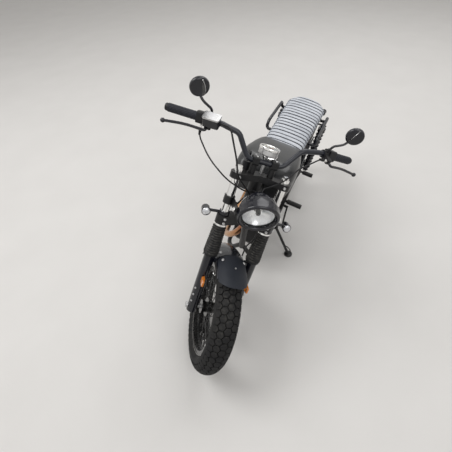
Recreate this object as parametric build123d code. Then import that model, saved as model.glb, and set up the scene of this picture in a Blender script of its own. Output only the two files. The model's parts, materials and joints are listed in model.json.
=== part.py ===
from build123d import *
import math
import os

# A small scrambler motorcycle that leans on its side stand with its steering on the left stop.
# It is modelled upright, +X forward, +Y to its left, +Z up, rear axle over the origin, in
# millimetres and degrees. The steering parts are modelled in the steering frame: its origin is the
# foot of the front axle on the steering axis, x forward, y left, z up along the axis.

# ---- stance
WHEELBASE = 1360.0
RAKE = 26.0
TRAIL = 100.0
LEAN = 10.5
STEER_STOP = 28.0

# ---- clearances
SEAT_GAP = 0.3
PIN_GAP = 0.3
BORE_GAP = 0.25
RUN_GAP = 0.5
MOVE_GAP = 6.0

# ---- wheels
BEAD_SEAT_RADIUS = 215.9
BEAD_WIDTH = 76.0
BEAD_HEIGHT = 15.0
CROWN_BANDS = 9
WALL_BANDS = 2
FRONT_SECTION = 120.0
FRONT_WALL = 96.0
REAR_SECTION = 130.0
REAR_WALL = 104.0
FLANGE_WALL = 4.0
FLANGE_HEIGHT = 14.0
RIM_WALL = 6.0
RIM_DROP = 18.0
RIM_WELL = 32.0
SPOKE_RADIUS = 2.0
SPOKE_PAIRS = 9
SPOKE_SWEEP = 38.0
HUB_BARREL_RADIUS = 27.0
HUB_FLANGE_RADIUS = 47.0
HUB_FLANGE_WALL = 5.0
HUB_FLANGE_OFFSET = 30.0
HUB_END_RADIUS = 34.0
HUB_END_WALL = 8.0

# ---- brake discs and rear sprocket
DISC_WALL = 4.5
FRONT_DISC_RADIUS = 138.0
FRONT_DISC_BAND = 32.0
FRONT_DISC_OFFSET = 64.0
REAR_DISC_RADIUS = 110.0
REAR_DISC_BAND = 28.0
DISC_ARM_WIDTH = 15.0
DISC_HOLE_RADIUS = 4.0
DISC_HOLES = 18
DISC_CENTRE_RADIUS = 21.0
CHAIN_OFFSET = 78.0
SPROCKET_RADIUS = 92.0
SPROCKET_WALL = 6.0
DRIVE_SPROCKET_RADIUS = 32.0
CHAIN_WIDTH = 15.0
CHAIN_HEIGHT = 14.0

# ---- axles
AXLE_RADIUS = 7.5
AXLE_COLLAR_RADIUS = 12.0
AXLE_NUT_RADIUS = 13.0
AXLE_NUT_LENGTH = 10.0

# ---- fork
FORK_SPACING = 205.0
FORK_TUBE_RADIUS = 17.5
FORK_CAP_LENGTH = 10.0
FORK_TUBE_RISE = 30.0
FORK_LEG_RADIUS = 26.0
FORK_LEG_TOP = 330.0
FORK_LEG_FOOT = 34.0
GAITER_BOTTOM = 318.0
GAITER_RADIUS = 36.0
GAITER_NECK_RADIUS = 30.0
GAITER_RIB_DEPTH = 4.0
GAITER_RIBS = 12
COLLAR_HEIGHT = 8.0
LOWER_CLAMP_HEIGHT = 505.0
LOWER_CLAMP_WALL = 40.0
UPPER_CLAMP_HEIGHT = 708.0
UPPER_CLAMP_WALL = 26.0
CLAMP_EYE_RADIUS = 29.0
STEM_RADIUS = 15.0
STEM_EYE_RADIUS = 30.0
HEAD_TUBE_RADIUS = 28.0

# ---- headlamp
LAMP_CLEARANCE = 39.7
LAMP_REACH = 172.0
LAMP_RADIUS = 82.0
LAMP_DEPTH = 100.0
LAMP_BACK_RADIUS = 34.0
LAMP_WALL = 3.0
BEZEL_LENGTH = 26.0
GLASS_RADIUS = 67.0
GLASS_WALL = 4.0
GLASS_CROWN = 9.0
BULB_RADIUS = 9.0
POLE_RADIUS = 2.0
LAMP_TILT = 4.0
LAMP_EAR_WALL = 5.0
LAMP_EAR_WIDTH = 30.0
TUBE_RING_WALL = 5.0
TUBE_RING_HEIGHT = 34.0

# ---- handlebar and its controls
BAR_RADIUS = 11.1
BAR_CLAMP_REACH = 20.0
BAR_HALF_WIDTH = 415.0
BAR_RISE = 96.0
BAR_PULL = 112.0
BAR_KNEE = 138.0
BAR_SHOULDER = 214.0
BAR_BEND_SHARE = 0.2
RISER_SPACING = 84.0
RISER_RADIUS = 14.0
RISER_HEIGHT = 68.0
BAR_BLOCK = 36.0
GRIP_RADIUS = 17.0
GRIP_LENGTH = 122.0
GRIP_END_LENGTH = 14.0
HOUSING_LENGTH = 44.0
HOUSING_RADIUS = 23.0
LEVER_REACH = 62.0
LEVER_FLARE = 20.0
PERCH_TILT = 30.0
LEVER_RADIUS = 5.5
LEVER_LENGTH = 178.0
PERCH_LENGTH = 26.0
PERCH_PIVOT = 34.0
MASTER_LENGTH = 62.0
MASTER_WIDTH = 38.0
MASTER_HEIGHT = 34.0
MIRROR_STEM_RADIUS = 5.0
MIRROR_RISE = 96.0
MIRROR_RADIUS = 37.0
MIRROR_WALL = 14.0
MIRROR_TURN = 35.0

# ---- instruments
GAUGE_RADIUS = 42.0
GAUGE_DEPTH = 34.0
GAUGE_REACH = -12.0
GAUGE_SIDE = 10.0
GAUGE_LIFT = 24.0
KEY_REACH = -20.0
KEY_SIDE = -62.0
LOCK_RADIUS = 16.0
LOCK_HEIGHT = 34.0

# ---- lamps on stalks
SIGNAL_RADIUS = 18.0
SIGNAL_LENGTH = 44.0
SIGNAL_COLLAR = 16.0
STALK_RADIUS = 6.5
STALK_LENGTH = 46.0

# ---- front fender
FENDER_GAP = 24.0
FENDER_HALF_WIDTH = 68.0
FENDER_DROP = 36.0
FENDER_WALL = 3.0
FENDER_BEAD_RADIUS = 3.2
FENDER_START = 66.0
FENDER_END = 152.0
PLATE_START = 57.0
PLATE_END = 86.5
PLATE_LIFT = 5.0
PLATE_BUSH_RADIUS = 7.0
STRAP_WIDTH = 24.0
STRAP_WALL = 3.0
STRAP_ANGLE = 90.0

# ---- front caliper
CALIPER_ANGLE = 136.0
CALIPER_LENGTH = 88.0
CALIPER_DEPTH = 50.0
CALIPER_WIDTH = 46.0

# ---- frame
BACKBONE_RADIUS = 22.0
DOWNTUBE_RADIUS = 18.0
CRADLE_RADIUS = 13.0
CRADLE_SPACING = 210.0
CRADLE_Z = 190.0
RAIL_RADIUS = 12.0
STRUT_RADIUS = 10.0
RAIL_SPACING = 200.0
RAIL_LIFT = 117.2
RAIL_REAR = -70.0
PIVOT_Z = 330.0
PIVOT_TUBE_RADIUS = 20.0
PIVOT_BOLT_RADIUS = 8.0
ARM_WIDTH = 26.0
ARM_HEIGHT = 42.0
ARM_OFFSET = 105.0
SHOCK_OFFSET = 142.0
SHOCK_TOP_X = 60.0
SHOCK_FOOT_X = 45.0
SHOCK_EYE_RADIUS = 15.0
SHOCK_PIN_RADIUS = 6.0
SPRING_RADIUS = 25.0
SPRING_WIRE_RADIUS = 4.0
SPRING_TURNS = 11
DAMPER_RADIUS = 18.0
REAR_CALIPER_ANGLE = 48.0
REAR_CALIPER_WIDTH = 40.0
REAR_CALIPER_LENGTH = 62.0

# ---- engine
ENGINE_BOTTOM = 214.0
ENGINE_TOP = 420.0
ENGINE_HALF_WIDTH = 82.0
COVER_RADIUS = 88.0
COVER_DEPTH = 42.0
CYLINDER_TILT = 12.0
CYLINDER_HEIGHT = 112.0
HEAD_HEIGHT = 78.0
FIN_SIZE = 150.0
FIN_COUNT = 8
FIN_WALL = 3.0
FIN_CORE = 104.0
PORT_RADIUS = 24.0
FILTER_SIZE = 150.0
HEADER_RADIUS = 18.0
SILENCER_RADIUS = 47.0
SILENCER_LENGTH = 430.0
SILENCER_SIDE = -172.0
SILENCER_Z = 235.0
SILENCER_RISE = 24.0

# ---- tank, seat and panels
TANK_HEIGHT = 151.0
TANK_LIFT = 17.0
TANK_REACH = 405.0
TANK_HALF_WIDTH = 140.0
CAP_RADIUS = 34.0
CAP_HEIGHT = 14.0
SEAT_REAR = 20.0
SEAT_THICKNESS = 62.0
SEAT_HALF_WIDTH = 118.0
SEAT_FRONT_HALF_WIDTH = 104.0
PANEL_WALL = 6.0
PANEL_HEIGHT = 150.0
PANEL_LENGTH = 200.0
PANEL_BOSS_RADIUS = 7.0
PANEL_BOSS_DEPTH = 0.9
REAR_FENDER_GAP = 62.0
REAR_FENDER_START = 72.0
REAR_FENDER_END = 156.0
REAR_FENDER_HALF_WIDTH = 84.0
BRACKET_HALF_WIDTH = 20.0
TAIL_Z = 585.0
TAIL_FACE = -322.0

# ---- pegs, stand and rails
PEG_LENGTH = 100.0
PEG_RADIUS = 16.0
PEG_Z = 300.0
PILLION_Z = 415.0
STAND_Z = 212.0
STAND_OFFSET = 130.0
STAND_FOOT_FORWARD = 45.0
STAND_FOOT_OUT = 118.0
STAND_LEG_RADIUS = 9.0
STAND_EYE_RADIUS = 15.0
STAND_EYE_LENGTH = 14.0
STAND_PIN_RADIUS = 6.0
STAND_FOOT_RADIUS = 27.0
STAND_FOOT_WALL = 7.0
LOOP_RADIUS = 9.0
LOOP_OFFSET = 150.0
HOSE_RADIUS = 3.5
CABLE_RADIUS = 3.0

# ---- sizes that follow
FRONT_RADIUS = BEAD_SEAT_RADIUS + FRONT_WALL
REAR_RADIUS = BEAD_SEAT_RADIUS + REAR_WALL
FORK_OFFSET = FRONT_RADIUS * math.sin(math.radians(RAKE)) - TRAIL * math.cos(math.radians(RAKE))
FORK_SIDE = FORK_SPACING / 2
LEG_INNER = FORK_SIDE - FORK_LEG_RADIUS
FORK_TUBE_TOP = UPPER_CLAMP_HEIGHT + FORK_TUBE_RISE
BAR_CLAMP_HEIGHT = UPPER_CLAMP_HEIGHT + RISER_HEIGHT
GAUGE_HEIGHT = BAR_CLAMP_HEIGHT + GAUGE_LIFT
HEAD_LOW = LOWER_CLAMP_HEIGHT + LOWER_CLAMP_WALL / 2 + RUN_GAP
SIGNAL_FOOT = LOWER_CLAMP_HEIGHT + LOWER_CLAMP_WALL / 2 + SEAT_GAP
LAMP_HEIGHT = SIGNAL_FOOT + SIGNAL_COLLAR + LAMP_CLEARANCE + TUBE_RING_HEIGHT / 2
HEAD_HIGH = UPPER_CLAMP_HEIGHT - UPPER_CLAMP_WALL / 2 - RUN_GAP
SPAN = WHEELBASE / 1360.0
PIVOT_X = 435.0 * SPAN
ENGINE_FRONT = 830.0 * SPAN
ENGINE_REAR = 490.0 * SPAN
CYLINDER_X = 735.0 * SPAN
SILENCER_FRONT = 345.0 * SPAN
STAND_X = 600.0 * SPAN
PILLION_X = 215.0 * SPAN
RAIL_HEIGHT = 2 * REAR_RADIUS + RAIL_LIFT
TANK_FRONT = WHEELBASE - TANK_REACH
TANK_REAR = 612.0 * SPAN
TANK_BOTTOM = RAIL_HEIGHT + TANK_LIFT
TANK_TOP = TANK_BOTTOM + TANK_HEIGHT
CAP_X = 856.0 * SPAN
CRADLE_SIDE = CRADLE_SPACING / 2
RAIL_SIDE = RAIL_SPACING / 2
SEAT_BASE = RAIL_HEIGHT + RAIL_RADIUS + SEAT_GAP
SHOCK_TOP_Z = RAIL_HEIGHT - 57
HEADER_END = (SILENCER_FRONT + 20, SILENCER_SIDE + 4, SILENCER_Z - 1)
DRIVE_X = ENGINE_REAR + 12
FIN_PITCH = CYLINDER_HEIGHT / FIN_COUNT
HEAD_BOTTOM = CYLINDER_HEIGHT + 2 * SEAT_GAP
PORT_HEIGHT = HEAD_BOTTOM + 30
PORT_FACE = FIN_SIZE / 2 + MOVE_GAP
ACROSS = Rot(0, 0, 90)


def on_steering_axis(height, reach=0.0):
    """A point in the upright frame, at a height and a forward reach in the steering frame."""
    slope = math.radians(RAKE)
    foot_x = WHEELBASE - FORK_OFFSET * math.cos(slope)
    foot_z = FRONT_RADIUS - FORK_OFFSET * math.sin(slope)
    x = foot_x - height * math.sin(slope) + reach * math.cos(slope)
    z = foot_z + height * math.cos(slope) + reach * math.sin(slope)
    return (x, 0, z)


STEERING = Pos(*on_steering_axis(0)) * Rot(0, -RAKE, 0) * Rot(0, 0, STEER_STOP)
FRONT_WHEEL = Pos(FORK_OFFSET, 0, 0)
REAR_WHEEL = Pos(0, 0, REAR_RADIUS)
LAMP = Pos(LAMP_REACH, 0, LAMP_HEIGHT) * Rot(0, RAKE + LAMP_TILT, 0)
CYLINDER = Pos(CYLINDER_X, 0, ENGINE_TOP + 14) * Rot(0, CYLINDER_TILT, 0)


def lowest_point(place, outer_radius, section):
    """The height of the lowest point of a round-crowned tyre, from the place of its wheel."""
    centre = place.position
    axis = place * Pos(0, 1, 0)
    tilt = axis.position.Z - centre.Z
    crown = section / 2
    return centre.Z - (outer_radius - crown) * math.sqrt(1 - tilt * tilt) - crown


def parked():
    """The place of the parked motorcycle: leaned to its left, with both tyres on the ground."""
    pitch = 0.0
    for _ in range(4):
        place = Rot(0, pitch, 0) * Rot(-LEAN, 0, 0)
        front = lowest_point(place * STEERING * FRONT_WHEEL, FRONT_RADIUS, FRONT_SECTION)
        rear = lowest_point(place * REAR_WHEEL, REAR_RADIUS, REAR_SECTION)
        pitch += math.degrees(math.atan2(front - rear, WHEELBASE))
    return Pos(0, 0, -rear) * place


PARKED = parked()


# ---- shared shapes
def rod(start, end, radius):
    """A round bar from one point to another."""
    along = Vector(*end) - Vector(*start)
    return extrude(Plane(origin=start, z_dir=along) * Circle(radius), along.length)


def bend_radii(points, share):
    """The bend at each corner of a cord, which takes a share of its shorter run on each side."""
    radii = []
    for before, corner, after in zip(points, points[1:], points[2:]):
        run_in = Vector(*corner) - Vector(*before)
        run_out = Vector(*after) - Vector(*corner)
        turn = math.radians(run_in.get_angle(run_out))
        radii.append(share * min(run_in.length, run_out.length) / math.tan(turn / 2))
    return radii


def cord(points, radius, share=0.45):
    """A tube, hose or cable along a route, with bends that take a share of its runs."""
    path = FilletPolyline(*points, radius=bend_radii(points, share))
    return sweep(Plane(origin=path @ 0, z_dir=path % 0) * Circle(radius), path=path)


def ring(outer, inner, start, length):
    """A ring about the X axis, from a station along it."""
    return extrude(Plane(origin=(start, 0, 0), z_dir=(1, 0, 0)) * (Circle(outer) - Circle(inner)), length)


def both_sides(shape):
    """A shape and its mirror image across the middle plane."""
    return Compound([shape, mirror(shape, about=Plane.XZ)])


def spun(points):
    """A solid turned about the X axis from an outline of (along, radius) points."""
    return revolve(make_face(Polyline(*points, close=True)), Axis.X)


# ---- wheels
def tyre(outer_radius, section):
    """A tyre about the Y axis: a round crown and bulging walls in flat bands, and straight beads."""
    half = section / 2
    crown = outer_radius - half
    bead = BEAD_WIDTH / 2
    bead_top = BEAD_SEAT_RADIUS + BEAD_HEIGHT
    wall_mid = (bead + 0.8 * (half - bead), bead_top + 0.42 * (crown - bead_top))
    wall = ThreePointArc((bead, bead_top), wall_mid, (half, crown))
    corners = [wall @ (band / WALL_BANDS) for band in range(WALL_BANDS)]
    right = [(bead, BEAD_SEAT_RADIUS)] + [(corner.X, corner.Y) for corner in corners]
    turns = [math.pi * band / CROWN_BANDS for band in range(CROWN_BANDS + 1)]
    over = [(half * math.cos(turn), crown + half * math.sin(turn)) for turn in turns]
    left = [(-x, radius) for x, radius in right[::-1]]
    return ACROSS * spun(right + over + left)


def rim_band():
    """The rim about the X axis: two flanges, two bead seats and a dropped well."""
    inside = BEAD_WIDTH / 2 + SEAT_GAP
    outside = inside + FLANGE_WALL
    seat = BEAD_SEAT_RADIUS - SEAT_GAP
    well = RIM_WELL / 2
    ramp = well + 4
    half = [(outside, seat + FLANGE_HEIGHT), (inside, seat + FLANGE_HEIGHT), (inside, seat), (ramp, seat),
            (well, seat - RIM_DROP)]
    under = [(well + RIM_WALL / 2, seat - RIM_DROP - RIM_WALL), (ramp + RIM_WALL / 2, seat - RIM_WALL),
             (outside, seat - RIM_WALL)]
    right = half[::-1]
    left = [(-x, r) for x, r in half]
    below = [(-x, r) for x, r in under[::-1]] + under
    return spun(left + right + [(x, r) for x, r in below[::-1]])


def spokes():
    """Crossed wire spokes from both hub flanges to the well of the rim."""
    wires = []
    rim_radius = BEAD_SEAT_RADIUS - SEAT_GAP - RIM_DROP - RIM_WALL / 2
    root_radius = HUB_FLANGE_RADIUS - 4 * SPOKE_RADIUS
    for side in (-1, 1):
        for index in range(SPOKE_PAIRS):
            base = 360 / SPOKE_PAIRS * (index + 0.25 * side)
            for lean in (-1, 1):
                root = math.radians(base + lean * SPOKE_SWEEP)
                tip = math.radians(base - lean * 8)
                x = side * (HUB_FLANGE_OFFSET + lean * SPOKE_RADIUS * 0.6)
                start = (x, root_radius * math.cos(root), root_radius * math.sin(root))
                end = (side * 5, rim_radius * math.cos(tip), rim_radius * math.sin(tip))
                wires.append(rod(start, end, SPOKE_RADIUS))
    return wires


def wire_wheel(left_end, right_end):
    """Rim, spokes and hub in one, about the Y axis, with the hub's two end faces."""
    bore = AXLE_RADIUS + PIN_GAP
    hub = ring(HUB_BARREL_RADIUS, bore, right_end, left_end - right_end)
    for side in (-1, 1):
        start = side * HUB_FLANGE_OFFSET - HUB_FLANGE_WALL / 2
        hub += ring(HUB_FLANGE_RADIUS, bore, start, HUB_FLANGE_WALL)
    hub += ring(HUB_END_RADIUS, bore, left_end - HUB_END_WALL, HUB_END_WALL)
    hub += ring(HUB_END_RADIUS, bore, right_end, HUB_END_WALL)
    return ACROSS * hub.fuse(rim_band(), *spokes())


FRONT_HUB_LEFT = FRONT_DISC_OFFSET - DISC_WALL / 2 - SEAT_GAP
FRONT_HUB_RIGHT = -(LEG_INNER - 16)
REAR_DISC_OFFSET = -CHAIN_OFFSET
SPROCKET_INNER = CHAIN_OFFSET - SPROCKET_WALL / 2
ARM_INNER = ARM_OFFSET - ARM_WIDTH / 2
REAR_HUB_LEFT = SPROCKET_INNER - SEAT_GAP
REAR_HUB_RIGHT = REAR_DISC_OFFSET + DISC_WALL / 2 + SEAT_GAP


def brake_disc(outer_radius, band, offset):
    """A drilled brake disc on five arms, about the Y axis, with its middle plane at an offset."""
    inner = outer_radius - band
    start = offset - DISC_WALL / 2
    face = Plane(origin=(start, 0, 0), z_dir=(1, 0, 0))
    outline = Circle(outer_radius) - Circle(inner) + Circle(DISC_CENTRE_RADIUS + 12)
    for index in range(5):
        arm = Rectangle(inner - DISC_CENTRE_RADIUS, DISC_ARM_WIDTH)
        arm = Pos((inner + DISC_CENTRE_RADIUS) / 2 + 5, 0) * arm
        outline += Rot(0, 0, 72 * index) * arm
    outline -= Circle(DISC_CENTRE_RADIUS)
    holes = PolarLocations(outer_radius - band / 2, DISC_HOLES) * Circle(DISC_HOLE_RADIUS)
    return ACROSS * extrude(face * (outline - holes), DISC_WALL)


def sprocket():
    """The rear chain wheel about the Y axis, with its lightening holes."""
    face = Plane(origin=(SPROCKET_INNER, 0, 0), z_dir=(1, 0, 0))
    outline = Circle(SPROCKET_RADIUS) - Circle(DISC_CENTRE_RADIUS)
    outline -= PolarLocations((SPROCKET_RADIUS + DISC_CENTRE_RADIUS) / 2, 6) * Circle(15)
    return ACROSS * extrude(face * outline, SPROCKET_WALL)


def axle(half_length, left_hub, right_hub, side_face):
    """An axle along the Y axis, with its nuts and the collars beside the hub."""
    shaft = rod((-half_length, 0, 0), (half_length, 0, 0), AXLE_RADIUS)
    head = half_length - AXLE_NUT_LENGTH
    shaft += rod((head, 0, 0), (half_length, 0, 0), AXLE_NUT_RADIUS)
    shaft += rod((-half_length, 0, 0), (-head, 0, 0), AXLE_NUT_RADIUS)
    shaft += rod((left_hub, 0, 0), (side_face, 0, 0), AXLE_COLLAR_RADIUS)
    shaft += rod((-side_face, 0, 0), (right_hub, 0, 0), AXLE_COLLAR_RADIUS)
    return ACROSS * shaft


# ---- fork
def fork_side(side, shape):
    """One fork leg's shape, moved from the fork's own line to its side."""
    return Pos(FORK_OFFSET, side * FORK_SIDE, 0) * shape


def fork_pair(shape):
    """A left and a right copy of a shape on the fork's own line."""
    return Compound([fork_side(1, shape), fork_side(-1, shape)])


def fork_tubes():
    """The two plated fork tubes with their top caps."""
    length = FORK_TUBE_TOP - FORK_LEG_TOP - SEAT_GAP
    tube = rod((0, 0, FORK_LEG_TOP + SEAT_GAP), (0, 0, FORK_TUBE_TOP), FORK_TUBE_RADIUS)
    cap = Pos(0, 0, FORK_TUBE_TOP) * extrude(RegularPolygon(0.66 * FORK_TUBE_RADIUS, 6), FORK_CAP_LENGTH)
    tube = chamfer(tube.edges().group_by(Axis.Z)[-1], min(2.0, length / 50))
    return fork_pair(tube + cap)


def gaiter_outline():
    """The ribbed outline of a gaiter, as (radius, height) points."""
    top = LOWER_CLAMP_HEIGHT - LOWER_CLAMP_WALL / 2 - COLLAR_HEIGHT - 2 * SEAT_GAP
    pitch = (top - GAITER_BOTTOM - 16) / GAITER_RIBS
    bore = FORK_LEG_RADIUS + SEAT_GAP
    points = [(bore, GAITER_BOTTOM), (GAITER_RADIUS - 4, GAITER_BOTTOM)]
    for index in range(GAITER_RIBS):
        share = index / (GAITER_RIBS - 1)
        crest = GAITER_RADIUS + (GAITER_NECK_RADIUS - GAITER_RADIUS) * share
        height = GAITER_BOTTOM + 8 + pitch * index
        points.append((crest - GAITER_RIB_DEPTH, height))
        points.append((crest, height + pitch / 2))
    points.append((GAITER_NECK_RADIUS - GAITER_RIB_DEPTH, top - 8))
    points.append((GAITER_NECK_RADIUS - GAITER_RIB_DEPTH, top))
    neck_bore = FORK_TUBE_RADIUS + SEAT_GAP
    points += [(neck_bore, top), (neck_bore, FORK_LEG_TOP + 12), (bore, FORK_LEG_TOP + 4)]
    return points


def fork_gaiters():
    """The two ribbed rubber gaiters over the fork's sliding joints."""
    outline = [(radius, 0, height) for radius, height in gaiter_outline()]
    return fork_pair(revolve(make_face(Polyline(*outline, close=True)), Axis.Z))


def fork_collars():
    """The two bright collars between the gaiters and the lower clamp."""
    bottom = LOWER_CLAMP_HEIGHT - LOWER_CLAMP_WALL / 2 - SEAT_GAP - COLLAR_HEIGHT
    face = Circle(GAITER_NECK_RADIUS) - Circle(FORK_TUBE_RADIUS + BORE_GAP)
    return fork_pair(Pos(0, 0, bottom) * extrude(face, COLLAR_HEIGHT))


def fork_legs():
    """The two dark lower legs, with the axle's eyes and the caliper's lugs on the left one."""
    leg = rod((0, 0, -FORK_LEG_FOOT), (0, 0, FORK_LEG_TOP), FORK_LEG_RADIUS)
    leg = chamfer(leg.edges().group_by(Axis.Z)[0], 8)
    reach = FORK_LEG_RADIUS + 2
    leg -= rod((0, -reach, 0), (0, reach, 0), AXLE_RADIUS + PIN_GAP)
    left = fork_side(1, leg)
    face_y = FRONT_DISC_OFFSET + CALIPER_WIDTH / 2 + SEAT_GAP
    for share in (-0.3, 0.3):
        x, z = caliper_centre()
        height = z + share * CALIPER_LENGTH
        lug = Pos((x + FORK_OFFSET) / 2 - 4, face_y + 9, height) * Box(FORK_OFFSET - x + 8, 18, 16)
        left += lug
    return Compound([left, fork_side(-1, leg)])


def caliper_centre():
    """The caliper's middle, as (forward, up) in the steering frame."""
    reach = FRONT_DISC_RADIUS - FRONT_DISC_BAND / 2
    angle = math.radians(CALIPER_ANGLE)
    return (FORK_OFFSET + reach * math.cos(angle), reach * math.sin(angle))


def front_caliper():
    """The front brake caliper, which straddles the disc behind the left leg."""
    x, z = caliper_centre()
    block = Box(CALIPER_DEPTH, CALIPER_WIDTH, CALIPER_LENGTH)
    block = fillet(block.edges().filter_by(Axis.Y), 9)
    block = Pos(x, FRONT_DISC_OFFSET, z) * block
    width = DISC_WALL + 2 * MOVE_GAP
    slot = ACROSS * ring(FRONT_DISC_RADIUS + MOVE_GAP, 1, -width / 2, width)
    return block - Pos(FORK_OFFSET, FRONT_DISC_OFFSET, 0) * slot


def clamp_plate(height, wall, centre_radius):
    """A fork clamp: two eyes for the tubes joined to one on the steering axis."""
    eyes = [Pos(FORK_OFFSET, side * FORK_SIDE) * Circle(CLAMP_EYE_RADIUS) for side in (-1, 1)]
    outline = make_hull((eyes[0] + Circle(centre_radius)).edges())
    outline += make_hull((eyes[1] + Circle(centre_radius)).edges())
    for side in (-1, 1):
        outline -= Pos(FORK_OFFSET, side * FORK_SIDE) * Circle(FORK_TUBE_RADIUS + BORE_GAP)
    return Pos(0, 0, height - wall / 2) * extrude(outline, wall)


def lower_clamp():
    """The lower fork clamp, with the stem that turns in the head tube."""
    plate = clamp_plate(LOWER_CLAMP_HEIGHT, LOWER_CLAMP_WALL, STEM_EYE_RADIUS)
    top = UPPER_CLAMP_HEIGHT - UPPER_CLAMP_WALL / 2 - SEAT_GAP
    return plate + rod((0, 0, LOWER_CLAMP_HEIGHT), (0, 0, top), STEM_RADIUS)


def bar_line():
    """The right half of the handlebar's route, from its middle outward."""
    shoulder_height = BAR_CLAMP_HEIGHT + BAR_RISE
    reach = BAR_CLAMP_REACH
    return [(reach, 0, BAR_CLAMP_HEIGHT), (reach, -(RISER_SPACING / 2 + 36), BAR_CLAMP_HEIGHT),
            (reach - 8, -BAR_KNEE, shoulder_height - 12), (reach - 22, -BAR_SHOULDER, shoulder_height),
            (reach - BAR_PULL, -BAR_HALF_WIDTH, shoulder_height - 12)]


def upper_clamp():
    """The upper fork clamp with two risers and the blocks that hold the handlebar."""
    clamp = clamp_plate(UPPER_CLAMP_HEIGHT, UPPER_CLAMP_WALL, STEM_EYE_RADIUS)
    for side in (-1, 1):
        y = side * RISER_SPACING / 2
        foot = (BAR_CLAMP_REACH, y, UPPER_CLAMP_HEIGHT)
        clamp += rod(foot, (BAR_CLAMP_REACH, y, BAR_CLAMP_HEIGHT), RISER_RADIUS)
        block = fillet(Box(BAR_BLOCK, 2 * RISER_RADIUS, BAR_BLOCK).edges().filter_by(Axis.Y), 7)
        clamp += Pos(BAR_CLAMP_REACH, y, BAR_CLAMP_HEIGHT) * block
    half = RISER_SPACING / 2 + RISER_RADIUS + 1
    bore = rod((BAR_CLAMP_REACH, -half, BAR_CLAMP_HEIGHT), (BAR_CLAMP_REACH, half, BAR_CLAMP_HEIGHT),
               BAR_RADIUS + BORE_GAP)
    return clamp - bore


def handlebar():
    """The wide raised handlebar, bent from one tube."""
    right = bar_line()
    left = [(x, -y, z) for x, y, z in right[:0:-1]]
    return cord(left + right[1:], BAR_RADIUS, BAR_BEND_SHARE)


def bar_end_frame(side, from_end):
    """The place on the bar's straight end at a distance from its tip: z outward, x forward."""
    line = [Vector(x, -side * y, z) for x, y, z in bar_line()]
    along = (line[-1] - line[-2]).normalized()
    origin = line[-1] - along * from_end
    return Plane(origin=origin, x_dir=side * along.cross(Vector(0, 0, 1)), z_dir=along).location


def grips():
    """The two rubber grips with their end plugs."""
    solids = []
    for side in (-1, 1):
        place = bar_end_frame(side, GRIP_LENGTH)
        grip = extrude(Circle(GRIP_RADIUS) - Circle(BAR_RADIUS + SEAT_GAP), GRIP_LENGTH)
        grip += Pos(0, 0, GRIP_LENGTH + SEAT_GAP) * extrude(Circle(GRIP_RADIUS - 2), GRIP_END_LENGTH)
        joint = extrude(Circle(GRIP_RADIUS - 2) - Circle(BAR_RADIUS + SEAT_GAP), SEAT_GAP)
        grip += Pos(0, 0, GRIP_LENGTH) * joint
        solids.append(place * grip)
    return Compound(solids)


def clamp_ring(outer, length):
    """A ring around the handlebar, from the origin outward along it."""
    return extrude(Circle(outer) - Circle(BAR_RADIUS + BORE_GAP), length)


def housing_start():
    """The distance from the bar's tip to the inner end of a switch housing."""
    return GRIP_LENGTH + SEAT_GAP + HOUSING_LENGTH


def switch_housing(side):
    """A switch housing beside a grip, with a flat front and one button."""
    body = fillet(Box(1.7 * HOUSING_RADIUS, 2 * HOUSING_RADIUS, HOUSING_LENGTH).edges().filter_by(Axis.Z), 9)
    body = Pos(0, 0, HOUSING_LENGTH / 2) * body
    body -= extrude(Circle(BAR_RADIUS + BORE_GAP), HOUSING_LENGTH)
    button = Pos(-0.85 * HOUSING_RADIUS, 0, HOUSING_LENGTH / 2) * Rot(0, -90, 0) * extrude(Circle(6), 4)
    return bar_end_frame(side, housing_start()) * (body + button)


def perch_place(side):
    """The inner end of a lever perch, in the frame along the bar."""
    place = bar_end_frame(side, housing_start() + SEAT_GAP + PERCH_LENGTH)
    return place * Rot(0, 0, side * PERCH_TILT)


def lever_perch(side):
    """A lever's clamp and its forked arm, which holds the lever's pivot."""
    perch = clamp_ring(BAR_RADIUS + 6, PERCH_LENGTH)
    arm = Pos(BAR_RADIUS + PERCH_PIVOT / 2 + 2, 0, PERCH_LENGTH / 2) * Box(PERCH_PIVOT, 20, PERCH_LENGTH)
    arm = fillet(arm.edges().filter_by(Axis.Y), 5)
    stem_foot = Pos(0, -side * (BAR_RADIUS + 4), PERCH_LENGTH / 2) * Rot(side * 90, 0, 0)
    stem_foot = stem_foot * extrude(Circle(8), 14)
    return perch_place(side) * (perch + arm + stem_foot)


def master_cylinder():
    """The brake fluid's reservoir on its perch, with a flat lid."""
    body = fillet(Box(MASTER_WIDTH, MASTER_HEIGHT, MASTER_LENGTH).edges().filter_by(Axis.Y), 6)
    x = BAR_RADIUS + 9 + MASTER_WIDTH / 2
    body = Pos(x, 10 + SEAT_GAP + MASTER_HEIGHT / 2, PERCH_LENGTH / 2 - 16) * body
    return perch_place(-1) * body


def master_lid():
    """The bright lid of the reservoir."""
    lid = fillet(Box(MASTER_WIDTH + 4, 6, MASTER_LENGTH + 4).edges().filter_by(Axis.Y), 7)
    x = BAR_RADIUS + 9 + MASTER_WIDTH / 2
    return perch_place(-1) * Pos(x, 13 + 2 * SEAT_GAP + MASTER_HEIGHT, PERCH_LENGTH / 2 - 16) * lid


def hand_lever(side):
    """A brake or clutch lever that curves out in front of the grip and ends in a ball."""
    start = BAR_RADIUS + PERCH_PIVOT + 2 + SEAT_GAP
    middle = PERCH_LENGTH / 2
    route = [(start, 0, middle), (LEVER_REACH + 4, 0, middle), (LEVER_REACH + 2, 0, middle + 84),
             (LEVER_REACH + LEVER_FLARE, 0, LEVER_LENGTH)]
    lever = cord(route, LEVER_RADIUS) + Pos(*route[-1]) * Sphere(1.7 * LEVER_RADIUS)
    return perch_place(side) * lever


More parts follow.
